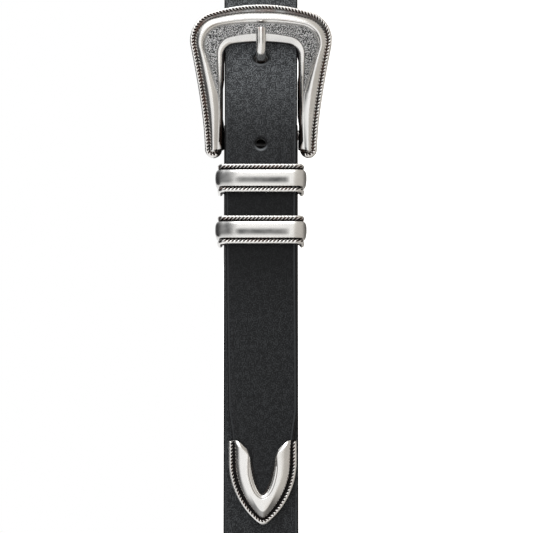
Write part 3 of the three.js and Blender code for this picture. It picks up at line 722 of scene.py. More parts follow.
def punch(bm, place, half_long, half_wide, power=1.0):
    """Swaps a block of faces for rings of quads round a hole; a low power squares the hole."""
    reach_long, reach_wide = half_long + PUNCH_MARGIN, half_wide + PUNCH_MARGIN
    block = [face for face in bm.faces
             if abs(face.calc_center_median().x - place) < reach_long
             and abs(face.calc_center_median().y) < reach_wide]
    bmesh.ops.delete(bm, geom=block, context="FACES")

    def open_rim(edges):
        return [edge for edge in edges if edge.is_boundary
                and all(abs(vert.co.x - place) < reach_long + 2 * STATION
                        and abs(vert.co.y) < HOLES_WITHIN for vert in edge.verts)]

    bmesh.ops.subdivide_edges(bm, edges=open_rim(bm.edges), cuts=1)
    rim = open_rim(bm.edges)
    for grow in PUNCH_RINGS:
        grown = bmesh.ops.extrude_edge_only(bm, edges=rim)["geom"]
        for vert in only(grown, bmesh.types.BMVert):
            turn = math.atan2(vert.co.y / half_wide, (vert.co.x - place) / half_long)
            vert.co = (place + squared(math.cos(turn), power) * half_long * grow,
                       squared(math.sin(turn), power) * half_wide * grow, 0)
        rim = open_rim(only(grown, bmesh.types.BMEdge))


# %% Cut and thicken the strap
def cut_strap():
    bm = flat_sheet()
    for place, half_long, half_wide in HOLES:
        punch(bm, place, half_long, half_wide)
    punch(bm, SLOT_PLACE, *SLOT_HALVES, power=SLOT_SQUARENESS)
    extruded = bmesh.ops.extrude_face_region(bm, geom=bm.faces[:])["geom"]
    under = set(only(extruded, bmesh.types.BMVert))
    for vert in bm.verts:
        rounding, crease = edge_drop(vert.co.y)
        rim = RIM_DEPTH * fade(nearest_hole(vert.co.x, vert.co.y)[0], 0.98, 1 + RIM_REACH)
        if vert in under:
            vert.co.z = rounding - STRAP_THICKNESS
        else:
            vert.co.z = -rounding - crease - rim
    return bm


# %% Its grain, its painted light and shade, and its three finishes
# place along the billet, and how coarse its grain is there; the same number paints the leather
# lighter towards the buckle, where more light falls, and darkest under and between the keepers,
# in their shade
COARSE_AND_LIT = [(-120, 0.11), (-25, 0.1), (-8, 0.05), (2, 0.0), (32, 0.0), (40, 0.12), (46, 0.16),
              (54, 0.17), (60, 0.24), (66, 0.32), (74, 0.5), (80, 0.68), (86, 0.85), (92, 0.9),
              (110, 0.9), (150, 0.2), (2000, 0.2)]
RIM_HIGHLIGHT = 0.7
RIM_HIGHLIGHT_HALF = 0.25  # half the highlighted ring's width, as a share of the hole's radius
EDGE_STRIP = 0.45  # the outermost millimetres are painted with the cut edge


def painted_rim_highlight(reach, along):
    """A painted highlight on the side of a hole's sunken rim that faces the light."""
    ring = max(1 - abs(reach - 1 - RIM_REACH) / RIM_HIGHLIGHT_HALF, 0)
    return RIM_HIGHLIGHT * ring * max(-along / max(reach, 0.1), 0) ** 1.5


def finish_flat(bm):
    """Gives the flat strap its UV map in metres, its coarseness, which also paints light and shade, its
    painted rim highlights and its three finishes.
    """
    uv = bm.loops.layers.uv.new("strap")
    grain = bm.verts.layers.float.new("grain")
    rim_highlight = bm.verts.layers.float.new("rim_highlight")
    bmesh.ops.recalc_face_normals(bm, faces=bm.faces)
    for face in bm.faces:
        middle = face.calc_center_median()
        walls = abs(face.normal.z) < 0.6 or abs(middle.y) > STRAP_WIDTH / 2 - EDGE_STRIP
        face.material_index = 2 if walls else 0 if face.normal.z > 0 else 1
        for loop in face.loops:
            flat = loop.vert.co
            loop[uv].uv = (flat.x * MM, (flat.y + flat.z) * MM)
    for vert in bm.verts:
        reach, along = nearest_hole(vert.co.x, vert.co.y)
        # painted shade: the leather's lightness falls away in a ring round each hole, so it is painted
        # darkest there
        outside_hole_shade = smoothstep(reach, 1.1, 1.6)
        vert[grain] = reading(COARSE_AND_LIT, FRONT_START + vert.co.x)[0] * outside_hole_shade
        vert[rim_highlight] = painted_rim_highlight(reach, along)


# %% Lay the strap on its course
TIP_SHIFT_X = 20.0  # from here the strap moves over to the tip's own middle


def lay_strap(bm):
    for vert in bm.verts:
        distance, across, under = vert.co
        x = FRONT_START + distance
        half = half_width(distance)
        thickness = thickness_at(distance)
        shift = TIP_Z * smoothstep(-x, -TIP_SHIFT_X, -TIP_ARM_X) if x < FRONT_HALF else 0.0
        outward = thickness / 2 + under * thickness / STRAP_THICKNESS
        wide = across * half / (STRAP_WIDTH / 2) + shift
        vert.co = strap_course.at(distance, -outward, wide)


strap_bm = cut_strap()
finish_flat(strap_bm)
lay_strap(strap_bm)
piece(strap_bm, "belt_strap", [GRAIN_SIDE, FLESH_SIDE, CUT_EDGE], "strap", 40)

# %% [markdown]
# ## The stitching of the turned-back end
# The end of the strap is folded round the heel bar and sewn to the strap in a U of saddle
# stitches, which only shows from inside the loop. A stitch is a few millimetres of waxed thread
# that dips into the leather at both ends, so one small rounded form is copied along the flap.

# %% Stitches
STITCH_LENGTH = 3.6
STITCH_SHARE = 0.44  # half the thread's length, as a share of the stitch's
THREAD_RADIUS = 0.38
THREAD_RISE = 0.35  # the middle of the thread over the leather, as a share of its radius
THREAD_DIP = 0.3
STITCH_ACROSS = 12.5
STITCHES_FROM_X = 42.5
STITCHES_TO_X = FLAP_END_X + 3.5


def flap_distance(x):
    """The distance along the strap of a place on the turned-back flap."""
    i = next(i for i in range(len(STATIONS) - 1, 0, -1) if STATIONS[i][0] >= x)
    return strap_course.distances[i]


def add_stitch(bm, distance, across, turn):
    made = bmesh.ops.create_uvsphere(bm, u_segments=8, v_segments=6, radius=1.0)["verts"]
    for vert in made:
        long, wide, high = vert.co
        up = (high + THREAD_RISE) * THREAD_RADIUS - THREAD_DIP * long * long
        reach = Vector((long * STITCH_LENGTH * STITCH_SHARE, wide * THREAD_RADIUS))
        flat = Matrix.Rotation(turn, 2) @ reach
        outward = thickness_at(distance) / 2 + up
        vert.co = strap_course.at(distance + flat.x, -outward, across + flat.y)


def stitch_places():
    start, end = flap_distance(STITCHES_FROM_X), flap_distance(STITCHES_TO_X)
    for distance in steps_between(start, end, STITCH_LENGTH):
        for side in (1, -1):
            yield distance, side * STITCH_ACROSS, 0.0
    for across in steps_between(-STITCH_ACROSS + STITCH_LENGTH / 2, STITCH_ACROSS, STITCH_LENGTH):
        yield end, across, math.pi / 2


def waxed_thread():
    made, tree, shader = new_finish("black waxed thread")
    fibres = cloud(object_place(tree), 5000.0, 2.0)
    colour = blend_colours(ramp(fibres, 0.4, 0.7), (0.012, 0.012, 0.013, 1), (0.04, 0.04, 0.042, 1))
    feed(shader, Base_Color=colour, Roughness=0.5, Normal=relief(fibres, 0.1))
    return made


WAXED_THREAD = waxed_thread()
stitch_bm = bmesh.new()
for distance, across, turn in stitch_places():
    add_stitch(stitch_bm, distance, across, turn)
piece(stitch_bm, "flap_stitches", [WAXED_THREAD], "strap", 60)

# %% [markdown]
# ## The buckle's horseshoe
# A western buckle frame is carved in wax as a flat horseshoe with a stepped relief, and cast.
# Its relief is the same all along: edge, groove, raised band, sunken panel, polished rim. So one
# cross-section is written down as a row of heights, and a sheet carries it along between the
# outer and the inner outline. Only the zones' widths change on the way.

# %% The buckle's outlines
CROWN_RADIUS = 71.0
SHOULDER_RADIUS = 12.7
BUCKLE_HALF = 30.8
LEG_END_DOWN = 63.5
LEG_END_RADIUS = 3.7
LEG_END_MIDDLE = 20.6
LEG_OUTER_HALF = 24.3
LEG_PULLS = [(24.8, 51.5), (25.6, 45.2)]
SHOULDER_END = math.radians(100)
WINDOW_TOP_DOWN = 16.6
WINDOW_CROWN_RADIUS = 81.0
WINDOW_CORNER_RADIUS = 5.6
WINDOW_HALF_TOP = 16.75
WINDOW_HALF_END = 18.2
# down the buckle, half the opening at the back of the frame's wall: left and right in the photo
WALL_BACKS = {
    1: [(-1, 15.6), (23, 15.6), (26, 15.9), (33, 15.9), (37, 16.45), (50, 16.45), (53, 16.0), (99, 16.0)],
    -1: [(-1, 15.6), (22, 15.6), (25, 16.2), (31, 16.2), (34, 15.85), (49, 15.85), (53, 16.4),
         (57, 16.4), (60, 16.1), (99, 16.1)],
}
FRAME_BACK_AT_TOP = 2.4
FRAME_BACK_AT_LEGS = 0.5
BACK_STEP_START = 18.0


def frame_back(down):
    return mix(FRAME_BACK_AT_TOP, FRAME_BACK_AT_LEGS, smoothstep(down, BACK_STEP_START, LEG_END_DOWN))


def arc_point(centre, radius, turn):
    return Vector((centre[0] + radius * math.sin(turn), centre[1] - radius * math.cos(turn)))


def bezier(points, share):
    while len(points) > 1:
        points = [a.lerp(b, share) for a, b in zip(points, points[1:])]
    return points[0]


class Outline:
    """Half an outline: a leg from 0 to 1, a shoulder from 1 to 2 and a crown from 2 to 3."""

    def __init__(self, top, crown_radius, corner_radius, half, side_turn, leg_end, pulls):
        reach = crown_radius - corner_radius
        self.crown = (0.0, top + crown_radius)
        self.crown_radius = crown_radius
        self.radius = corner_radius
        self.side_turn = side_turn
        self.crown_turn = math.asin((half - corner_radius) / reach)
        self.corner = (half - corner_radius, self.crown[1] - reach * math.cos(self.crown_turn))
        self.leg = [Vector(p) for p in (leg_end, *pulls)]
        self.leg.append(arc_point(self.corner, corner_radius, side_turn))

    def at(self, place):
        if place <= 1:
            return bezier(self.leg, place)
        if place <= 2:
            return arc_point(self.corner, self.radius, mix(self.side_turn, self.crown_turn, place - 1))
        return arc_point(self.crown, self.crown_radius, self.crown_turn * (3 - place))


OUTER = Outline(0.0, CROWN_RADIUS, SHOULDER_RADIUS, BUCKLE_HALF, SHOULDER_END,
                (LEG_OUTER_HALF, LEG_END_DOWN), LEG_PULLS)
WINDOW = Outline(WINDOW_TOP_DOWN, WINDOW_CROWN_RADIUS, WINDOW_CORNER_RADIUS, WINDOW_HALF_TOP,
                 math.pi / 2, (WINDOW_HALF_END, LEG_END_DOWN), [])
print("buckle:", LEG_END_DOWN + LEG_END_RADIUS, "mm by", 2 * BUCKLE_HALF, "mm")


# %% The window and its legs' ends
def window_at(place):
    """The inner outline, which bulges round the leg's end."""
    point = WINDOW.at(place)
    past = LEG_END_DOWN - point.y
    if past < LEG_END_RADIUS:
        bulge = LEG_END_MIDDLE - math.sqrt(LEG_END_RADIUS**2 - past**2)
        point.x = min(point.x, bulge)
    return point


# %% The buckle's relief
EDGE_HEIGHT = 1.6
GROOVE_HEIGHT = 1.9
CREST_HEIGHT = 4.4
PANEL_HEIGHT = 2.8
RIM_HEIGHT = 3.6
RIM_EDGE_HEIGHT = 2.8
# place along the half outline: widths of groove, band and rim, and the crest's share of the band
RELIEF = [
    (0.0, 2.0, 3.3, 0.7, 0.50),
    (0.6, 2.1, 5.8, 0.9, 0.54),
    (0.8, 2.1, 5.1, 1.6, 0.56),
    (1.0, 2.1, 4.6, 2.4, 0.58),
    (2.0, 2.7, 5.1, 3.4, 0.66),
    (3.0, 3.2, 5.3, 3.8, 0.68),
]
BAND_SHARES = [0.0, 0.08, 0.18, 0.3, 0.44, 0.56, 0.66, 0.71, 0.75, 0.79, 0.84, 0.9, 0.96, 1.0]
CROWN_LINES = (0.75, 0.79)  # shares of the band where a fine dark line runs along the crown


# %% The buckle's cross-section
def band_height(share, crest, foot, panel, left):
    """The raised band: a rounded outer slope, and an inner one that is flatter on the legs."""
    if share < crest:
        return mix(foot, CREST_HEIGHT, math.sin(math.pi / 2 * share / crest) ** 0.9)
    past = (share - crest) / (1 - crest)
    curved = max(math.cos(math.pi / 2 * past), 0) ** 0.9
    return mix(panel, CREST_HEIGHT, mix(1 - past**1.3, curved, left))


def frame_section(width, place, lean):
    """The cross-section: rows of reach from the outer edge, height, darkness and sandblast."""
    groove, band, rim, crest = reading(RELIEF, place)
    band_end = groove + band
    rim_start = max(width - rim, band_end + 0.1)
    # how much of the sunken panel is left between the band and the rim
    left = smoothstep(rim_start - band_end, 0, 1.5)
    band_end = mix(width - 0.6, band_end, smoothstep(left, 0, 0.5))
    band = band_end - groove
    rim_start = max(rim_start, band_end + 0.1)
    panel = mix(RIM_HEIGHT, PANEL_HEIGHT, left)
    blasted = min(1.8 * left, 1)
    grime = mix(0.86, 0.45, smoothstep(place, 1.2, 2.2))
    grit = 0.95 * smoothstep(place, 1.2, 2.2)
    crown = smoothstep(place, 1.2, 1.6)
    # the rim turns duller along the crown
    duller_rim = 0.2 * smoothstep(place, 1.4, 2.0)
    rows = [
        (0.5, 0.0, 0.5, 0), (0.15, 0.25, 0.2, 0), (0.05, 0.8, 0.1, 0), (0.05, 1.2, 0.1, 0),
        (0.15, 1.5, 0.3, 0), (0.4, EDGE_HEIGHT, 0.8, 0), (0.9, EDGE_HEIGHT + 0.05, 1, 0),
        (mix(0.9, groove - 0.9, 0.6), GROOVE_HEIGHT - 0.2, grime, grit),
        (groove - 0.9, GROOVE_HEIGHT - 0.15, grime, grit), (groove - 0.35, GROOVE_HEIGHT, grime, grit),
    ]
    for share in BAND_SHARES:
        line = crown * (share in CROWN_LINES)
        height = band_height(share, crest, GROOVE_HEIGHT + 0.15, panel, left) - 0.06 * line
        dark = max(grime * fade(share, 0.0, 0.12), 0.62 * line)
        dulled_foot = 0.68 * crown * fade(share, 0.1, 0.28)
        rows.append((groove + share * band, height, dark, max(0.4 * left * (share == 1.0), dulled_foot)))
    rows += [
        (band_end + 0.2 * left, panel, 0.1 * left, 0.9 * blasted),
        (band_end + 0.5 * left, panel, 0.1 * left, blasted),
        (mix(band_end, rim_start, 0.5), panel, 0, blasted),
        (rim_start - 0.4 * left, panel, 0.1 * left, blasted),
        (rim_start - 0.1 * left, panel, 0.35 * left, 0.9 * blasted),
        (rim_start + 0.12, mix(panel, RIM_HEIGHT, 0.5), 0.2 * left, 0.3 * left),
        (rim_start + 0.4, max(RIM_HEIGHT - 0.08, panel - 0.1), 0, duller_rim),
        (mix(rim_start, width, 0.5), RIM_HEIGHT, 0, duller_rim),
        (width - 0.45, RIM_HEIGHT - 0.2, 0, duller_rim),
        (width - 0.15, RIM_HEIGHT - 0.5, 0, duller_rim),
        (width, RIM_EDGE_HEIGHT, 0.1, 0),
        (width + 0.15 * lean, 2.2, 0.75, 0),
        (width + 0.6 * lean, 1.1, 1, 0),
        (width + lean, 0.3, 1, 0),
        (width + lean - 0.2, 0.0, 0.6, 0),
        (width / 2, 0.0, 0.3, 0),
        (0.5, 0.0, 0.5, 0),
    ]
    return rows


# %% The horseshoe's stations
CAP_STEPS = 12
OUTLINE_STEPS = (54, 34, 24)  # along the leg, the shoulder and the crown
SECTION_ROWS = len(frame_section(10, 0, 0)) - 1
half_stations = [("cap", 90.0 * (1 - i / CAP_STEPS)) for i in range(CAP_STEPS)]
for start, steps in enumerate(OUTLINE_STEPS):
    half_stations += [("leg", start + i / steps) for i in range(steps)]
frame_stations = [(-1, *station) for station in half_stations] + [(1, "leg", 3.0)]
frame_stations += [(1, *station) for station in reversed(half_stations)]
print("horseshoe:", len(frame_stations), "stations with", SECTION_ROWS, "rows")


# %% The horseshoe, round its legs' ends
IN_SHADE = 0.95  # how dark the metal is where no light reaches it
LEFT_FACE_SHADE = 0.25  # painted shade: how dull and grey the left leg's flat face is painted, towards its end


def on_frame(point, height, side):
    """A point of half the outline, at a height over the frame's back."""
    back = frame_back(min(point.y, LEG_END_DOWN))
    return spot(BUCKLE_TOP_X - point.y, back + height, side * point.x)


def cap_height(edge_distance):
    """The leg's round end: a groove all round for the rope, then a dome."""
    grooved = mix(EDGE_HEIGHT, GROOVE_HEIGHT, smoothstep(edge_distance, 0.3, 1.6))
    height = mix(grooved, CREST_HEIGHT - 0.2, smoothstep(edge_distance, 1.7, 3.0))
    return height, fade(edge_distance, 1.8, 2.3) * smoothstep(edge_distance, 0.1, 0.5)


def leg_row(straight, bulge, value, lean, row):
    """A row of the section; past the straight rim the leg's end bulges into the window, in shade."""
    reach, height, dark, blast = frame_section(straight, value, lean)[row]
    past = smoothstep(reach, straight - 0.5, straight)
    shade = IN_SHADE * past * smoothstep(bulge, 0, 0.4)
    return reach + bulge * past, height, max(dark, shade), blast


def leg_place(side, value, row):
    outer, inner = OUTER.at(value), window_at(value)
    width = (inner - outer).length
    straight = (WINDOW.at(value) - outer).length
    lean = max(inner.x - reading(WALL_BACKS[side], inner.y)[0], 0) if value < 1.9 else 0.0
    reach, height, dark, blast = leg_row(straight, width - straight, value, lean, row)
    face = smoothstep(reach / width, 0.55, 0.7) * (height > RIM_EDGE_HEIGHT)
    # painted shade on the left leg's flat face, the side away from the light
    shaded_left_face = LEFT_FACE_SHADE * face * (side > 0) * fade(value, 0.5, 0.75)
    point = outer.lerp(inner, min(reach / width, 1))
    point.x -= max(reach - width, 0)
    return point, height, dark, max(blast, shaded_left_face)


def cap_place(value, row):
    """A leg's round end, at a turn of value degrees from straight across."""
    width = 2 * LEG_END_RADIUS
    straight = LEG_OUTER_HALF - WINDOW_HALF_END
    reach, height, dark, blast = leg_row(straight, width - straight, 0.0, 0.0, row)
    angle = math.radians(value)
    across = LEG_END_RADIUS * math.cos(angle) * (1 - 2 * reach / width)
    down = LEG_END_RADIUS * math.sin(angle)
    if height > EDGE_HEIGHT:
        round_height, round_dark = cap_height(LEG_END_RADIUS - math.hypot(across, down))
        share = smoothstep(value, 0, 25)
        height = mix(height, round_height, share)
        dark = max(mix(dark, round_dark, share), IN_SHADE * smoothstep(-across, 1.2, 2.2))
    return Vector((LEG_END_MIDDLE + across, LEG_END_DOWN + down)), height, dark, blast


def horseshoe_place(u, v):
    side, kind, value = frame_stations[round(u * (len(frame_stations) - 1))]
    row = round(v * SECTION_ROWS)
    found = leg_place(side, value, row) if kind == "leg" else cap_place(value, row)
    point, height, dark, blast = found
    return on_frame(point, height, side), dark, blast


horseshoe_bm = closed(shape(sheet(len(frame_stations) - 1, SECTION_ROWS), horseshoe_place))
piece(horseshoe_bm, "buckle_horseshoe", [CAST_SILVER], "buckle_frame", 42)

# %% [markdown]
# ## Rope borders
# The rope is a round bead whose top is cut with slanted notches. A tube with a wavy radius gives
# it: the wave runs along the bead and round it at the same time, so its valleys slant, and more
# strands slant them more. The notches hold old polish and the outer edge stays smooth and bright.

# %% Ropes
ROPE_RINGS = 9  # for each notch
ROPE_SIDES = 14
ROPE_DEPTH = 0.34  # as a share of the radius
ROPE_STATION = 0.4


def rope_sheet(path, radius, pitch, inner_side, strands, flank=0.85, up_at=lambda p: Vector((0, -1, 0))):
    """A rope along a path; inner_side is +1 or -1, the side that its notches are cut from, and
    past flank, a share of the radius, that side is painted in shade."""
    course = Course(evenly(path, ROPE_STATION), up_at)
    notches = round(course.length / pitch)

    def place(u, v):
        angle = 2 * math.pi * v
        phase = u * notches + strands * v
        valley = (0.5 + 0.5 * math.cos(2 * math.pi * phase)) ** 1.5
        inwards = inner_side * math.sin(angle)
        facing = smoothstep(inwards, -0.45, 0.15)
        ends = min(1.0, min(u, 1 - u) * course.length / radius)
        reach = radius * math.sqrt(max(1 - (1 - ends) ** 2, 1e-4)) * (1 - ROPE_DEPTH * valley * facing)
        spot_on = course.at(u * course.length, math.sin(angle) * reach, math.cos(angle) * reach)
        notch = min(1.6 * valley**0.5 * facing, 1.0)
        return spot_on, max(notch, IN_SHADE * smoothstep(inwards, flank, flank + 0.35)), 0.0

    return closed(shape(sheet(notches * ROPE_RINGS, ROPE_SIDES), place))


def gather(pieces):
    """Puts several sheets into one."""
    whole = bmesh.new()
    for name in ("dark", "blast"):
        whole.verts.layers.float.new(name)
    for bm in pieces:
        part = mesh_of(bm, "part")
        whole.from_mesh(part)
        bpy.data.meshes.remove(part)
    return whole


# %% The buckle's rope
FRAME_ROPE_RADIUS = 0.9
FRAME_ROPE_RISE = 0.3
ROPE_PITCH = 1.45
ROPE_END_TURN = 132  # degrees round the leg's end
ROPE_END_STEPS = 24
ROPE_SIDE_STEPS = 150


def frame_rope_path():
    half = []
    for i in range(ROPE_END_STEPS):
        turn = math.radians(ROPE_END_TURN * (1 - i / ROPE_END_STEPS))
        half.append(Vector((LEG_END_MIDDLE + math.cos(turn) * (LEG_END_RADIUS - FRAME_ROPE_RADIUS),
                            LEG_END_DOWN + math.sin(turn) * (LEG_END_RADIUS - FRAME_ROPE_RADIUS))))
    for i in range(ROPE_SIDE_STEPS + 1):
        outer, inner = (outline.at(3 * i / ROPE_SIDE_STEPS) for outline in (OUTER, WINDOW))
        half.append(outer.lerp(inner, FRAME_ROPE_RADIUS / (outer - inner).length))
    height = EDGE_HEIGHT + FRAME_ROPE_RISE
    return ([on_frame(point, height, -1) for point in half]
            + [on_frame(point, height, 1) for point in reversed(half[:-1])])


frame_rope_bm = rope_sheet(frame_rope_path(), FRAME_ROPE_RADIUS, ROPE_PITCH, 1, 2)
piece(frame_rope_bm, "buckle_rope", [ROPE_SILVER], "buckle_frame", 60)

# %% [markdown]
# ## The heel bar
# Behind the legs two lugs carry a round bar, and the strap is folded round it. On the real
# buckle they are one casting with the frame, and only their dark sides show in the window's
# slits. The lugs are boxes with bevelled edges and the bar is a cylinder.

# %% The heel bar and its lugs
LUG_LENGTH = 8.4
LUG_BEVEL = 0.9
LUG_WALL = 0.6  # the metal behind the bar
LUG_SUNK = 1.0  # how far the lugs run into the legs
LUG_NARROWER = 1.0  # than the legs are
HEEL_DARKNESS = 0.55


def heel_bar():
    bm = bmesh.new()
    low = BAR_DEPTH - BAR_RADIUS - LUG_WALL
    high = FRAME_BACK_AT_LEGS + LUG_SUNK
    lug_width = LEG_OUTER_HALF - WINDOW_HALF_TOP - LUG_NARROWER
    for side in (1, -1):
        middle = spot(BAR_X, (low + high) / 2, side * (LEG_OUTER_HALF + WINDOW_HALF_TOP) / 2)
        size = Matrix.Diagonal((LUG_LENGTH, high - low, lug_width, 1))
        bmesh.ops.create_cube(bm, size=1, matrix=Matrix.Translation(middle) @ size)
    bmesh.ops.bevel(bm, geom=bm.edges[:], offset=LUG_BEVEL, segments=4, profile=0.5, affect="EDGES",
                    material=-1)
    bmesh.ops.create_cone(bm, cap_ends=True, segments=40, radius1=BAR_RADIUS, radius2=BAR_RADIUS,
                          depth=2 * LEG_END_MIDDLE, matrix=Matrix.Translation(spot(BAR_X, BAR_DEPTH, 0)))
    dark = bm.verts.layers.float.new("dark")
    bm.verts.layers.float.new("blast")
    for vert in bm.verts:
        vert[dark] = HEEL_DARKNESS
    return bm


piece(heel_bar(), "buckle_heel_bar", [CAST_SILVER], "buckle_frame", 35)

# %% [markdown]
# ## The prong
# The prong is a cast rod with an eye round the heel bar. It comes up through the strap's hole,
# bends over and lies on the frame. A tube follows its bends, and its round section closes
# towards a blunt end.

# %% The prong
PRONG_HALF_WIDTH = 2.15
PRONG_HALF_DEPTH = 1.8
PRONG_TIP_X = 104.1
EYE_OUTER_RADIUS = 4.5
EYE_HALF_WIDTH = 2.6
EYE_SQUARENESS = 0.5
ROD_SQUARENESS = 0.85
END_ROUND = 1.1  # the last millimetres close to a blunt end
RIM_TOP = FRAME_BACK_AT_TOP + RIM_HEIGHT + CLEARANCE + PRONG_HALF_DEPTH + 0.1
PRONG_STEPS = 12  # stations for each bend
ROD_FACES = (110, 28)
EYE_FACES = (40, 20)
# x and depth of the rod's middle line, from the eye to the end
PRONG_BENDS = [
    (BAR_X + 3.4, BAR_DEPTH + 0.9), (BAR_X + 14, BAR_DEPTH - 0.5), (HOLE_X - 6, BAR_DEPTH - 0.9),
    (HOLE_X - 2.0, BAR_DEPTH - 0.5), (HOLE_X - 0.2, -1.0), (HOLE_X + 0.6, 3.0),
    (HOLE_X + 2.3, RIM_TOP - 1.5), (HOLE_X + 5.2, RIM_TOP), (PRONG_TIP_X - 2.5, RIM_TOP - 0.15),
    (PRONG_TIP_X, RIM_TOP - 0.4),
]


# %% The prong's course
def centripetal(points, steps):
    """A curve through points at uneven distances that doesn't swing past them."""
    ends = [2 * points[0] - points[1], *points, 2 * points[-1] - points[-2]]
    curve = []
    for a, b, c, d in zip(ends, ends[1:], ends[2:], ends[3:]):
        knots = [0.0]
        for first, second in ((a, b), (b, c), (c, d)):
            knots.append(knots[-1] + math.sqrt((second - first).length))
        t0, t1, t2, t3 = knots
        for i in range(steps):
            t = mix(t1, t2, i / steps)
            ab = a.lerp(b, (t - t0) / (t1 - t0))
            bc = b.lerp(c, (t - t1) / (t2 - t1))
            cd = c.lerp(d, (t - t2) / (t3 - t2))
            abc = ab.lerp(bc, (t - t0) / (t2 - t0))
            bcd = bc.lerp(cd, (t - t1) / (t3 - t1))
            curve.append(abc.lerp(bcd, (t - t1) / (t2 - t1)))
    return curve + [points[-1]]


prong_course = Course(centripetal([spot(x, depth, 0) for x, depth in PRONG_BENDS], PRONG_STEPS),
                      lambda p: Vector((0, 0, 1)))
print("prong:", round(prong_course.length, 1), "mm along its middle line")


# %% The prong's rod and eye
def prong_rod(u, v):
    angle = 2 * math.pi * v
    distance = prong_course.length * (1 - (1 - u) ** 1.5)
    left = prong_course.length - distance
    end = math.sqrt(max(1 - max(1 - left / END_ROUND, 0) ** 2.4, 0)) * 0.995
    wide = squared(math.cos(angle), ROD_SQUARENESS) * PRONG_HALF_WIDTH * end
    deep = squared(math.sin(angle), ROD_SQUARENESS) * PRONG_HALF_DEPTH * end
    middle = prong_course.at(distance, 0, 0)
    under = IN_SHADE * smoothstep(middle.y, -3.6, -0.8)
    side = abs(wide) / PRONG_HALF_WIDTH
    # painted dark reflections: dark streaks either side of the rod's middle, where it lies flat
    dark_reflection_lines = smoothstep(side, 0.14, 0.3) * fade(side, 0.42, 0.62)
    flat = smoothstep(middle.x, HOLE_X + 3, HOLE_X + 6)
    return prong_course.at(distance, deep, wide), max(under, 0.72 * dark_reflection_lines * flat), 0.0


def prong_eye(u, v):
    turn, angle = 2 * math.pi * u, 2 * math.pi * v
    middle = (BAR_RADIUS + CLEARANCE + EYE_OUTER_RADIUS) / 2
    thick = (EYE_OUTER_RADIUS - BAR_RADIUS - CLEARANCE) / 2
    reach = middle + squared(math.cos(angle), EYE_SQUARENESS) * thick
    wide = squared(math.sin(angle), EYE_SQUARENESS) * EYE_HALF_WIDTH
    return spot(BAR_X + reach * math.cos(turn), BAR_DEPTH + reach * math.sin(turn), wide), 1.0, 0.0


prong_bm = gather([
    closed(shape(sheet(*ROD_FACES), prong_rod)),
    closed(shape(sheet(*EYE_FACES), prong_eye)),
])
piece(prong_bm, "prong_bar", [CAST_SILVER], "prong", 60)

# %% [markdown]
# ## Keepers
# A keeper is a cast loop round all the layers of the strap. Its front and sides are a crowned,
# polished band between two ropes, and behind it is a plain strip. The sheet goes round a
# rounded rectangle, and its rows are the band's section. Along its middle the front is painted
# dull grey in a soft stripe, as a dark reflection, its one end is painted in shade, and its other
# edge, which is turned away, is painted in shade too.

# %% The keepers' sizes
KEEPER_LENGTH = 12.4
KEEPER_INNER_HALF = 16.4
KEEPER_WALL = 1.2
KEEPER_CORNER = 2.4
KEEPER_INNER_CORNER = 0.5
KEEPER_BAND_RISE = 1.5
KEEPER_SIDE_RISE = 2.1
KEEPER_ROPE_RADIUS = 1.05
KEEPER_ROPE_PITCH = 1.63
KEEPER_LOW = -(STRAP_THICKNESS / 2 + LAYER_GAP + FOLD_THICKNESS) - CLEARANCE - 0.1
KEEPER_HIGH = BILLET_DEPTH + STRAP_THICKNESS / 2 + CLEARANCE + 0.1
KEEPER_PLACES = {"keeper_1": 38.2, "keeper_2": 15.7}
KEEPER_BAND_HALF = 3.8
RING_STEPS = (24, 8, 24, 8)  # behind, one side, in front, the other side
CORNER_STEPS = 10
BAND_PLACES = [0.0, 0.5, 1.0, 1.5, 2.0, 2.5, 2.9, 3.2, 3.45, 3.62, 3.73]


# %% The band's section and the way round the strap
def crown_share(along):
    return (1 - (along / KEEPER_BAND_HALF) ** 2.8) ** 0.4


# along, rise, darkness
half_rows = [(along, crown_share(along), 0.3 * (along > 3.7)) for along in BAND_PLACES]
half_rows += [(3.83, 0.12, 0.95), (3.95, 0.0, 1), (4.5, 0.0, 1), (5.3, 0.0, 1)]
KEEPER_ROWS = [(-along, rise, dark) for along, rise, dark in reversed(half_rows[1:])] + half_rows
ring_stops = []
for quarter, steps in enumerate(RING_STEPS):
    ring_stops += [("side", quarter, i / steps) for i in range(steps)]
    ring_stops += [("turn", quarter, i / CORNER_STEPS) for i in range(CORNER_STEPS)]
ring_stops.append(("side", 0, 0.0))
FRONT_STOPS = ring_stops[ring_stops.index(("side", 1, 0.0)):ring_stops.index(("turn", 3, 0.0)) + 1]
print("keepers:", len(ring_stops), "stops round the strap,", len(KEEPER_ROWS), "rows along it")


def ring_point(stop, half, low, high, wide, deep):
    """A point (across, depth) on a rectangle with oval corners, from one end of its back."""
    kind, quarter, share = stop
    corners = [(half - wide, low + deep), (half - wide, high - deep),
               (wide - half, high - deep), (wide - half, low + deep)]
    if kind == "turn":
        turn = math.pi / 2 * (quarter + share)
        across, depth = corners[quarter]
        return across + wide * math.sin(turn), depth - deep * math.cos(turn)
    outwards = math.pi / 2 * quarter
    start, end = corners[quarter - 1], corners[quarter]
    return (mix(start[0], end[0], share) + wide * math.sin(outwards),
            mix(start[1], end[1], share) - deep * math.cos(outwards))


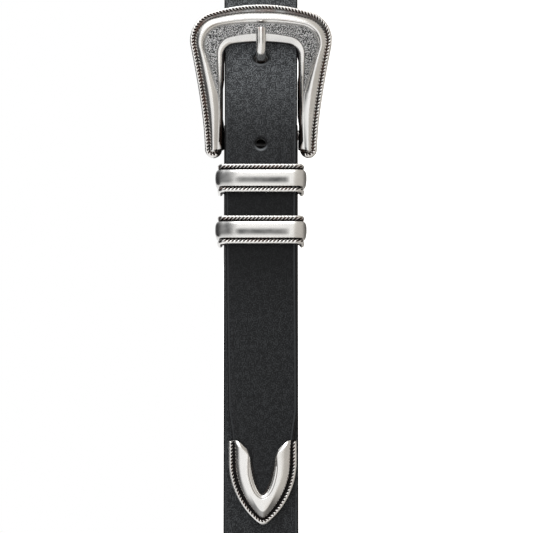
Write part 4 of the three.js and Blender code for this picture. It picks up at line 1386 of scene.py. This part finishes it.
# %% The keepers' bands
def keeper_painted_shade(along, across, depth):
    """Painted shade as a dull grey on the band: a dark reflection in a stripe, the end in shade and the
    edge that is turned away.
    """
    stripe = fade(abs(along + 1.0), 0.4, 2.1) * smoothstep(depth, KEEPER_HIGH, KEEPER_HIGH + 1)
    stripe *= fade(across, 8.6, 13.4) * fade(-across, 10.6, 12.8)
    shaded = smoothstep(across, 9.0, 14.5) * (1 - 0.7 * smoothstep(-along, 1.5, 3.2))
    turned_away = smoothstep(-across, 17.4, 19.2)
    return max(0.9 * stripe, 0.88 * shaded, 0.75 * turned_away)


def keeper_place(x):
    rows = KEEPER_ROWS

    def place(u, v):
        stop = ring_stops[round(u * (len(ring_stops) - 1))]
        row = round(v * (len(rows) + 2)) % (len(rows) + 2)
        if row >= len(rows):
            along = rows[-1][0] if row == len(rows) else rows[0][0]
            across, depth = ring_point(stop, KEEPER_INNER_HALF, KEEPER_LOW, KEEPER_HIGH,
                                       KEEPER_INNER_CORNER, KEEPER_INNER_CORNER)
            return spot(x + along, depth, across), 0.8, 0.0
        along, share, dark = rows[row]
        rise = share * KEEPER_BAND_RISE
        across, depth = ring_point(stop, KEEPER_INNER_HALF + KEEPER_WALL + share * KEEPER_SIDE_RISE,
                                   KEEPER_LOW - KEEPER_WALL, KEEPER_HIGH + KEEPER_WALL + rise,
                                   KEEPER_CORNER + 3.6 * share, KEEPER_CORNER + 1.1 * share)
        dark = max(dark, 0.35 * fade(depth, KEEPER_LOW, KEEPER_LOW + 2))
        return spot(x + along, depth, across), dark, keeper_painted_shade(along, across, depth)

    return place


# %% The keepers' ropes, and both keepers
KEEPER_ROPE_FLANK = 0.6
KEEPER_ROPE_STRANDS = 4
KEEPER_ROPE_FLARE = 0.7


def keeper_rope_path(x, flare):
    half = KEEPER_INNER_HALF + KEEPER_WALL
    top = KEEPER_HIGH + KEEPER_WALL
    path = []
    for stop in FRONT_STOPS:
        across, depth = ring_point(stop, half, KEEPER_LOW, top, KEEPER_CORNER, KEEPER_CORNER)
        path.append(spot(x - flare * smoothstep(top - depth, 0.5, 5), depth, across))
    return path


for name, x in KEEPER_PLACES.items():
    band = closed(shape(sheet(len(ring_stops) - 1, len(KEEPER_ROWS) + 2), keeper_place(x)))
    piece(band, name + "_band", [CAST_SILVER], name, 45)
    ropes = []
    for end in (-1, 1):
        path = keeper_rope_path(x + end * (KEEPER_LENGTH / 2 - KEEPER_ROPE_RADIUS),
                                KEEPER_ROPE_FLARE * (end < 0))
        ropes.append(rope_sheet(path, KEEPER_ROPE_RADIUS, KEEPER_ROPE_PITCH, -end, -KEEPER_ROPE_STRANDS,
                                KEEPER_ROPE_FLANK, lambda p: Vector((0, p.y, p.z))))
    piece(gather(ropes), name + "_rope", [ROPE_SILVER], name, 60)

# %% [markdown]
# ## The metal tip
# The tip is a cast pocket that is pushed over the strap's pointed end. In front it has a rope
# border, a dark groove, a slope and a broad polished face shaped like a V. Its deep notch shows
# the leather, and a fine crease and a bevel follow the notch. Towards the point the slopes are
# duller. One sheet runs from one arm's end down to the point and up the other arm.

# %% The tip's outlines
TIP_POINT_START = 2.6  # half the width where the point's rounding starts
TIP_POINT_FULL = 1.2
TIP_POINT_SPREAD = 1.2  # the length that the rounding takes, as a share of that half width
TIP_INSET = 0.2
NOTCH_HALF = 5.2
NOTCH_BOTTOM_HALF = 2.4
NOTCH_SIDE = 9.0
NOTCH_TOP_X = -81.0
NOTCH_BOTTOM_X = -98.0
ARM_END = [(-75.0, 14.5), (-75.0, 11.2), (-78.0, 7.4), (-81.0, 5.2)]
TIP_MIDDLE = BILLET_DEPTH + BILLET_TIP_LIFT
POCKET_LOW = TIP_MIDDLE - TIP_LEATHER / 2 - CLEARANCE
POCKET_HIGH = TIP_MIDDLE + TIP_LEATHER / 2 + CLEARANCE
NOTCH_CURVE = [Vector((NOTCH_TOP_X, NOTCH_HALF)), Vector((NOTCH_TOP_X - NOTCH_SIDE, NOTCH_HALF)),
               Vector((NOTCH_BOTTOM_X, NOTCH_BOTTOM_HALF)), Vector((NOTCH_BOTTOM_X, 0))]


def tip_outer(share, inset=0.0):
    """The tip's outline from an arm's end (0) to the point (1), moved inwards by inset."""
    radius = TIP_ARC_RADIUS - inset
    middle = TIP_HALF - TIP_ARC_RADIUS
    last = math.acos((TIP_POINT_START - middle) / radius)
    straight = TIP_ARM_X - TIP_ARC_START_X
    rounding = TIP_POINT_START * TIP_POINT_SPREAD
    distance = share * (straight + last * radius + rounding)
    if distance < straight:
        return Vector((TIP_ARM_X - distance, TIP_HALF - inset))
    turn = (distance - straight) / radius
    if turn < last:
        return Vector((TIP_ARC_START_X - math.sin(turn) * radius, middle + math.cos(turn) * radius))
    start = Vector((TIP_ARC_START_X - math.sin(last) * radius, TIP_POINT_START))
    end = start.x - (TIP_POINT_START - TIP_POINT_FULL) / math.tan(last)
    past = (distance - straight - last * radius) / rounding
    return bezier([start, Vector((end, TIP_POINT_FULL)), Vector((end, 0))], min(past, 1.0))


def arm_hump(share):
    """How far the arm's end stands out from a straight line across it."""
    edge = Vector(glide(ARM_END, share * (len(ARM_END) - 1)))
    return edge - Vector(ARM_END[0]).lerp(Vector(ARM_END[-1]), share)


def tip_point(share, across):
    """A point of the face, and the face's width there."""
    outer, inner = tip_outer(share, TIP_INSET), bezier(NOTCH_CURVE, share)
    point = outer.lerp(inner, across)
    return point + arm_hump(across) * fade(share, 0, 0.35), (outer - inner).length


print("tip:", round(TIP_ARM_X - tip_outer(1.0).x, 1), "mm by", 2 * TIP_HALF, "mm")


# %% The tip's relief
# measured from the edge: reach in millimetres, height over the pocket, darkness
TIP_ROWS = [("edge", *row) for row in [
    (0.0, -0.6, 0.3), (0.0, 0.1, 0.6), (0.35, 0.35, 1), (1.2, 0.4, 1), (1.7, 0.42, 1),
    (2.3, 0.45, 1), (2.62, 0.55, 1), (2.75, 0.85, 0.5), (3.05, 1.2, 0), (3.4, 1.5, 0),
    (3.8, 1.78, 0), (4.2, 2.01, 0), (4.6, 2.2, 0), (5.05, 2.35, 0), (5.5, 2.43, 0),
]]
# measured from the notch: the flat face, the crease, the bevel and the notch's wall
TIP_ROWS += [("notch", *row) for row in [
    (2.9, 2.45, 0), (2.4, 2.45, 0), (1.95, 2.44, 0), (1.8, 2.4, 0.2), (1.58, 2.26, 0.9),
    (1.36, 2.3, 0.2), (0.8, 2.05, 0), (0.2, 1.7, 0), (0.0, 1.3, 0.4), (-0.75, 0.05, 0.78),
]]
TIP_SLOPE = (3.0, 5.5)  # the slope lies between these reaches from the edge
TIP_ARM_BEVEL = 0.05  # as a share of the arm's length
TIP_ARM_LOW = 0.6  # what stands higher is bevelled at the arm's end
TIP_ARM_KEPT = 0.4  # the share of that height which is left at the very end
TIP_SLOPE_DULL = 0.8
TIP_STEPS = 64


def arm(u):
    """The side of the tip, and how far along it: 0 at the arm's end and 1 at the point."""
    return (1 if u < 0.5 else -1), 1 - abs(2 * u - 1)


def on_tip(point, depth, side):
    return spot(point.x, depth, side * point.y + TIP_Z)


def tip_front(u, v):
    side, share = arm(u)
    start, reach, height, dark = TIP_ROWS[round(v * len(TIP_ROWS)) % len(TIP_ROWS)]
    width = tip_point(share, 0.5)[1]
    across = reach / width if start == "edge" else 1 - reach / width
    if height > TIP_ARM_LOW:
        bevelled = TIP_ARM_LOW + TIP_ARM_KEPT * (height - TIP_ARM_LOW)
        height = mix(height, bevelled, max(1 - share / TIP_ARM_BEVEL, 0))
    on_slope = start == "edge" and TIP_SLOPE[0] < reach < TIP_SLOPE[1]
    dull = TIP_SLOPE_DULL * on_slope * smoothstep(share, 0.62 if side > 0 else 0.5, 0.86)
    return on_tip(tip_point(share, across)[0], POCKET_HIGH + height, side), dark, dull


# %% The tip's wall and back
BACK_INSET = 0.3
BACK_LEAST = 0.05  # half the back's width at its point
TIP_DARKNESS = 0.3
WALL_CORNERS = [(TIP_INSET, POCKET_LOW - TIP_WALL), (TIP_INSET, POCKET_HIGH + 0.2),
                (TIP_INSET + TIP_WALL, POCKET_HIGH + 0.2), (TIP_INSET + TIP_WALL, POCKET_LOW - 0.1)]
BACK_CORNERS = [(-1, POCKET_LOW), (1, POCKET_LOW), (1, POCKET_LOW - TIP_WALL),
                (-1, POCKET_LOW - TIP_WALL)]


def tip_wall(u, v):
    side, share = arm(u)
    inset, depth = WALL_CORNERS[round(v * 4) % 4]
    return on_tip(tip_outer(share, inset), depth, side), TIP_DARKNESS, 0.0


def tip_back(u, v):
    edge = tip_outer(u, BACK_INSET)
    edge.y = max(edge.y, BACK_LEAST)
    side, depth = BACK_CORNERS[round(v * 4) % 4]
    return on_tip(edge, depth, side), TIP_DARKNESS, 0.0


# %% The tip's rope, and the whole tip
TIP_ROPE_RADIUS = 0.8
TIP_ROPE_INSET = 0.95
TIP_ROPE_RISE = 0.5
TIP_ROPE_STEPS = 60


def tip_rope_path():
    half = [tip_outer(i / TIP_ROPE_STEPS, TIP_ROPE_INSET) for i in range(TIP_ROPE_STEPS + 1)]
    lift = POCKET_HIGH + TIP_ROPE_RISE
    return ([on_tip(point, lift, 1) for point in half]
            + [on_tip(point, lift, -1) for point in reversed(half[:-1])])


tip_bm = gather([
    closed(shape(sheet(2 * TIP_STEPS, len(TIP_ROWS)), tip_front)),
    closed(shape(sheet(2 * TIP_STEPS, len(WALL_CORNERS)), tip_wall)),
    closed(shape(sheet(TIP_STEPS, len(BACK_CORNERS)), tip_back)),
])
piece(tip_bm, "tip_pocket", [CAST_SILVER], "tip", 40)
tip_rope_bm = rope_sheet(tip_rope_path(), TIP_ROPE_RADIUS, ROPE_PITCH, 1, 2)
piece(tip_rope_bm, "tip_rope", [ROPE_SILVER], "tip", 60)

# %% [markdown]
# ## The camera and the light
# The camera stands where the photographer stood, about 1.1 m from the front, 7 degrees towards
# the tip, and rolled, because the photograph shows the belt running up and down. The room is
# pale but dim overhead, and a wide soft light stands beyond the buckle's end, so cast metal gets
# bright and darker sides. The other two lights only brighten what faces them and aren't mirrored.
# The floor throws light back from below, its far part also glows a little as painted light, and the
# camera sees it as plain white.

# %% The camera
CAMERA_DISTANCE = 1100.0
CAMERA_TILT = math.radians(7.0)
CAMERA_TARGET = spot(0.0, 4.0, -2.4)
PHOTO_PIXELS = 533
PIXEL_MM = 0.43
SENSOR_MM = 36.0

turn_only = REST.to_3x3() * (1 / MM)
camera_back = turn_only @ spot(-math.sin(CAMERA_TILT), math.cos(CAMERA_TILT), 0)
camera_right = turn_only @ spot(0, 0, -1)
camera_up = camera_back.cross(camera_right)
camera_data = bpy.data.cameras.new("camera")
camera_data.sensor_width = SENSOR_MM
camera_data.lens = SENSOR_MM * CAMERA_DISTANCE / (PHOTO_PIXELS * PIXEL_MM)
camera_data.clip_start = 0.05
camera_data.clip_end = 50
camera = put("camera", camera_data)
camera_spot = REST @ CAMERA_TARGET + camera_back * CAMERA_DISTANCE * MM
axes = Matrix((camera_right, camera_up, camera_back)).transposed().to_4x4()
camera.matrix_world = Matrix.Translation(camera_spot) @ axes
bpy.context.scene.camera = camera
print("camera at", [round(value, 3) for value in camera_spot])


# %% Lights
def soft_light(name, place, width, height, power, reflected=True):
    data = bpy.data.lights.new(name, "AREA")
    data.shape = "RECTANGLE"
    data.size = width
    data.size_y = height
    data.energy = power
    light = put(name, data)
    light.location = place
    aim = REST @ spot(0, 0, 0) - Vector(place)
    light.rotation_euler = aim.to_track_quat("-Z", "Y").to_euler()
    light.visible_glossy = reflected
    print(f"{name}: {power} watts")


soft_light("light beyond the buckle", (1.1, -0.75, 0.45), 1.0, 0.9, 8)
soft_light("light in front", (-0.35, -1.5, 0.75), 1.2, 0.5, 2, reflected=False)
soft_light("light from above", (0.1, -0.3, 1.6), 1.6, 1.6, 8, reflected=False)

# %% Floor and surroundings
FLOOR_SIDE = 12
NEAR_FLOOR = (0.6, 0.57, 0.53, 1)
FAR_FLOOR = (0.86, 0.85, 0.83, 1)


def camera_sees(tree):
    return out_of(tree, "ShaderNodeLightPath", "Is Camera Ray")


def pale_floor():
    bm = sheet(2, 2)
    bmesh.ops.scale(bm, vec=(FLOOR_SIDE, FLOOR_SIDE, 1), verts=bm.verts)
    bmesh.ops.translate(bm, vec=(-FLOOR_SIDE / 2, -FLOOR_SIDE / 2, 0), verts=bm.verts)
    floor = put("floor", mesh_of(bm, "floor"))
    plaster, tree, shader = new_finish("pale floor")
    distance = out_of(tree, "ShaderNodeVectorMath", "Value", {"operation": "LENGTH"},
                      Vector=object_place(tree))
    far = ramp(distance, 0.2, 0.45)
    # painted light: away from the belt the floor glows a little
    feed(shader, Base_Color=blend_colours(far, NEAR_FLOOR, FAR_FLOOR), Roughness=0.9,
         Emission_Color=(1, 1, 1, 1), Emission_Strength=greatest(camera_sees(tree), far * 0.3))
    floor.data.materials.append(plaster)


def surroundings():
    """A pale room that is dim overhead."""
    world = bpy.data.worlds.new("studio")
    bpy.context.scene.world = world
    world.use_nodes = True
    tree = world.node_tree
    direction = out_of(tree, "ShaderNodeTexCoord", "Generated")
    up = out_of(tree, "ShaderNodeSeparateXYZ", 2, Vector=direction)
    strength = greatest(ramp(up, 0.68, 0.9, 0.95, 0.057), camera_sees(tree))
    feed(tree.nodes["Background"], Color=(1, 1, 1, 1), Strength=strength)


pale_floor()
surroundings()
bpy.context.scene.view_settings.view_transform = "Standard"
print("floor:", FLOOR_SIDE, "metres a side, in a pale room")
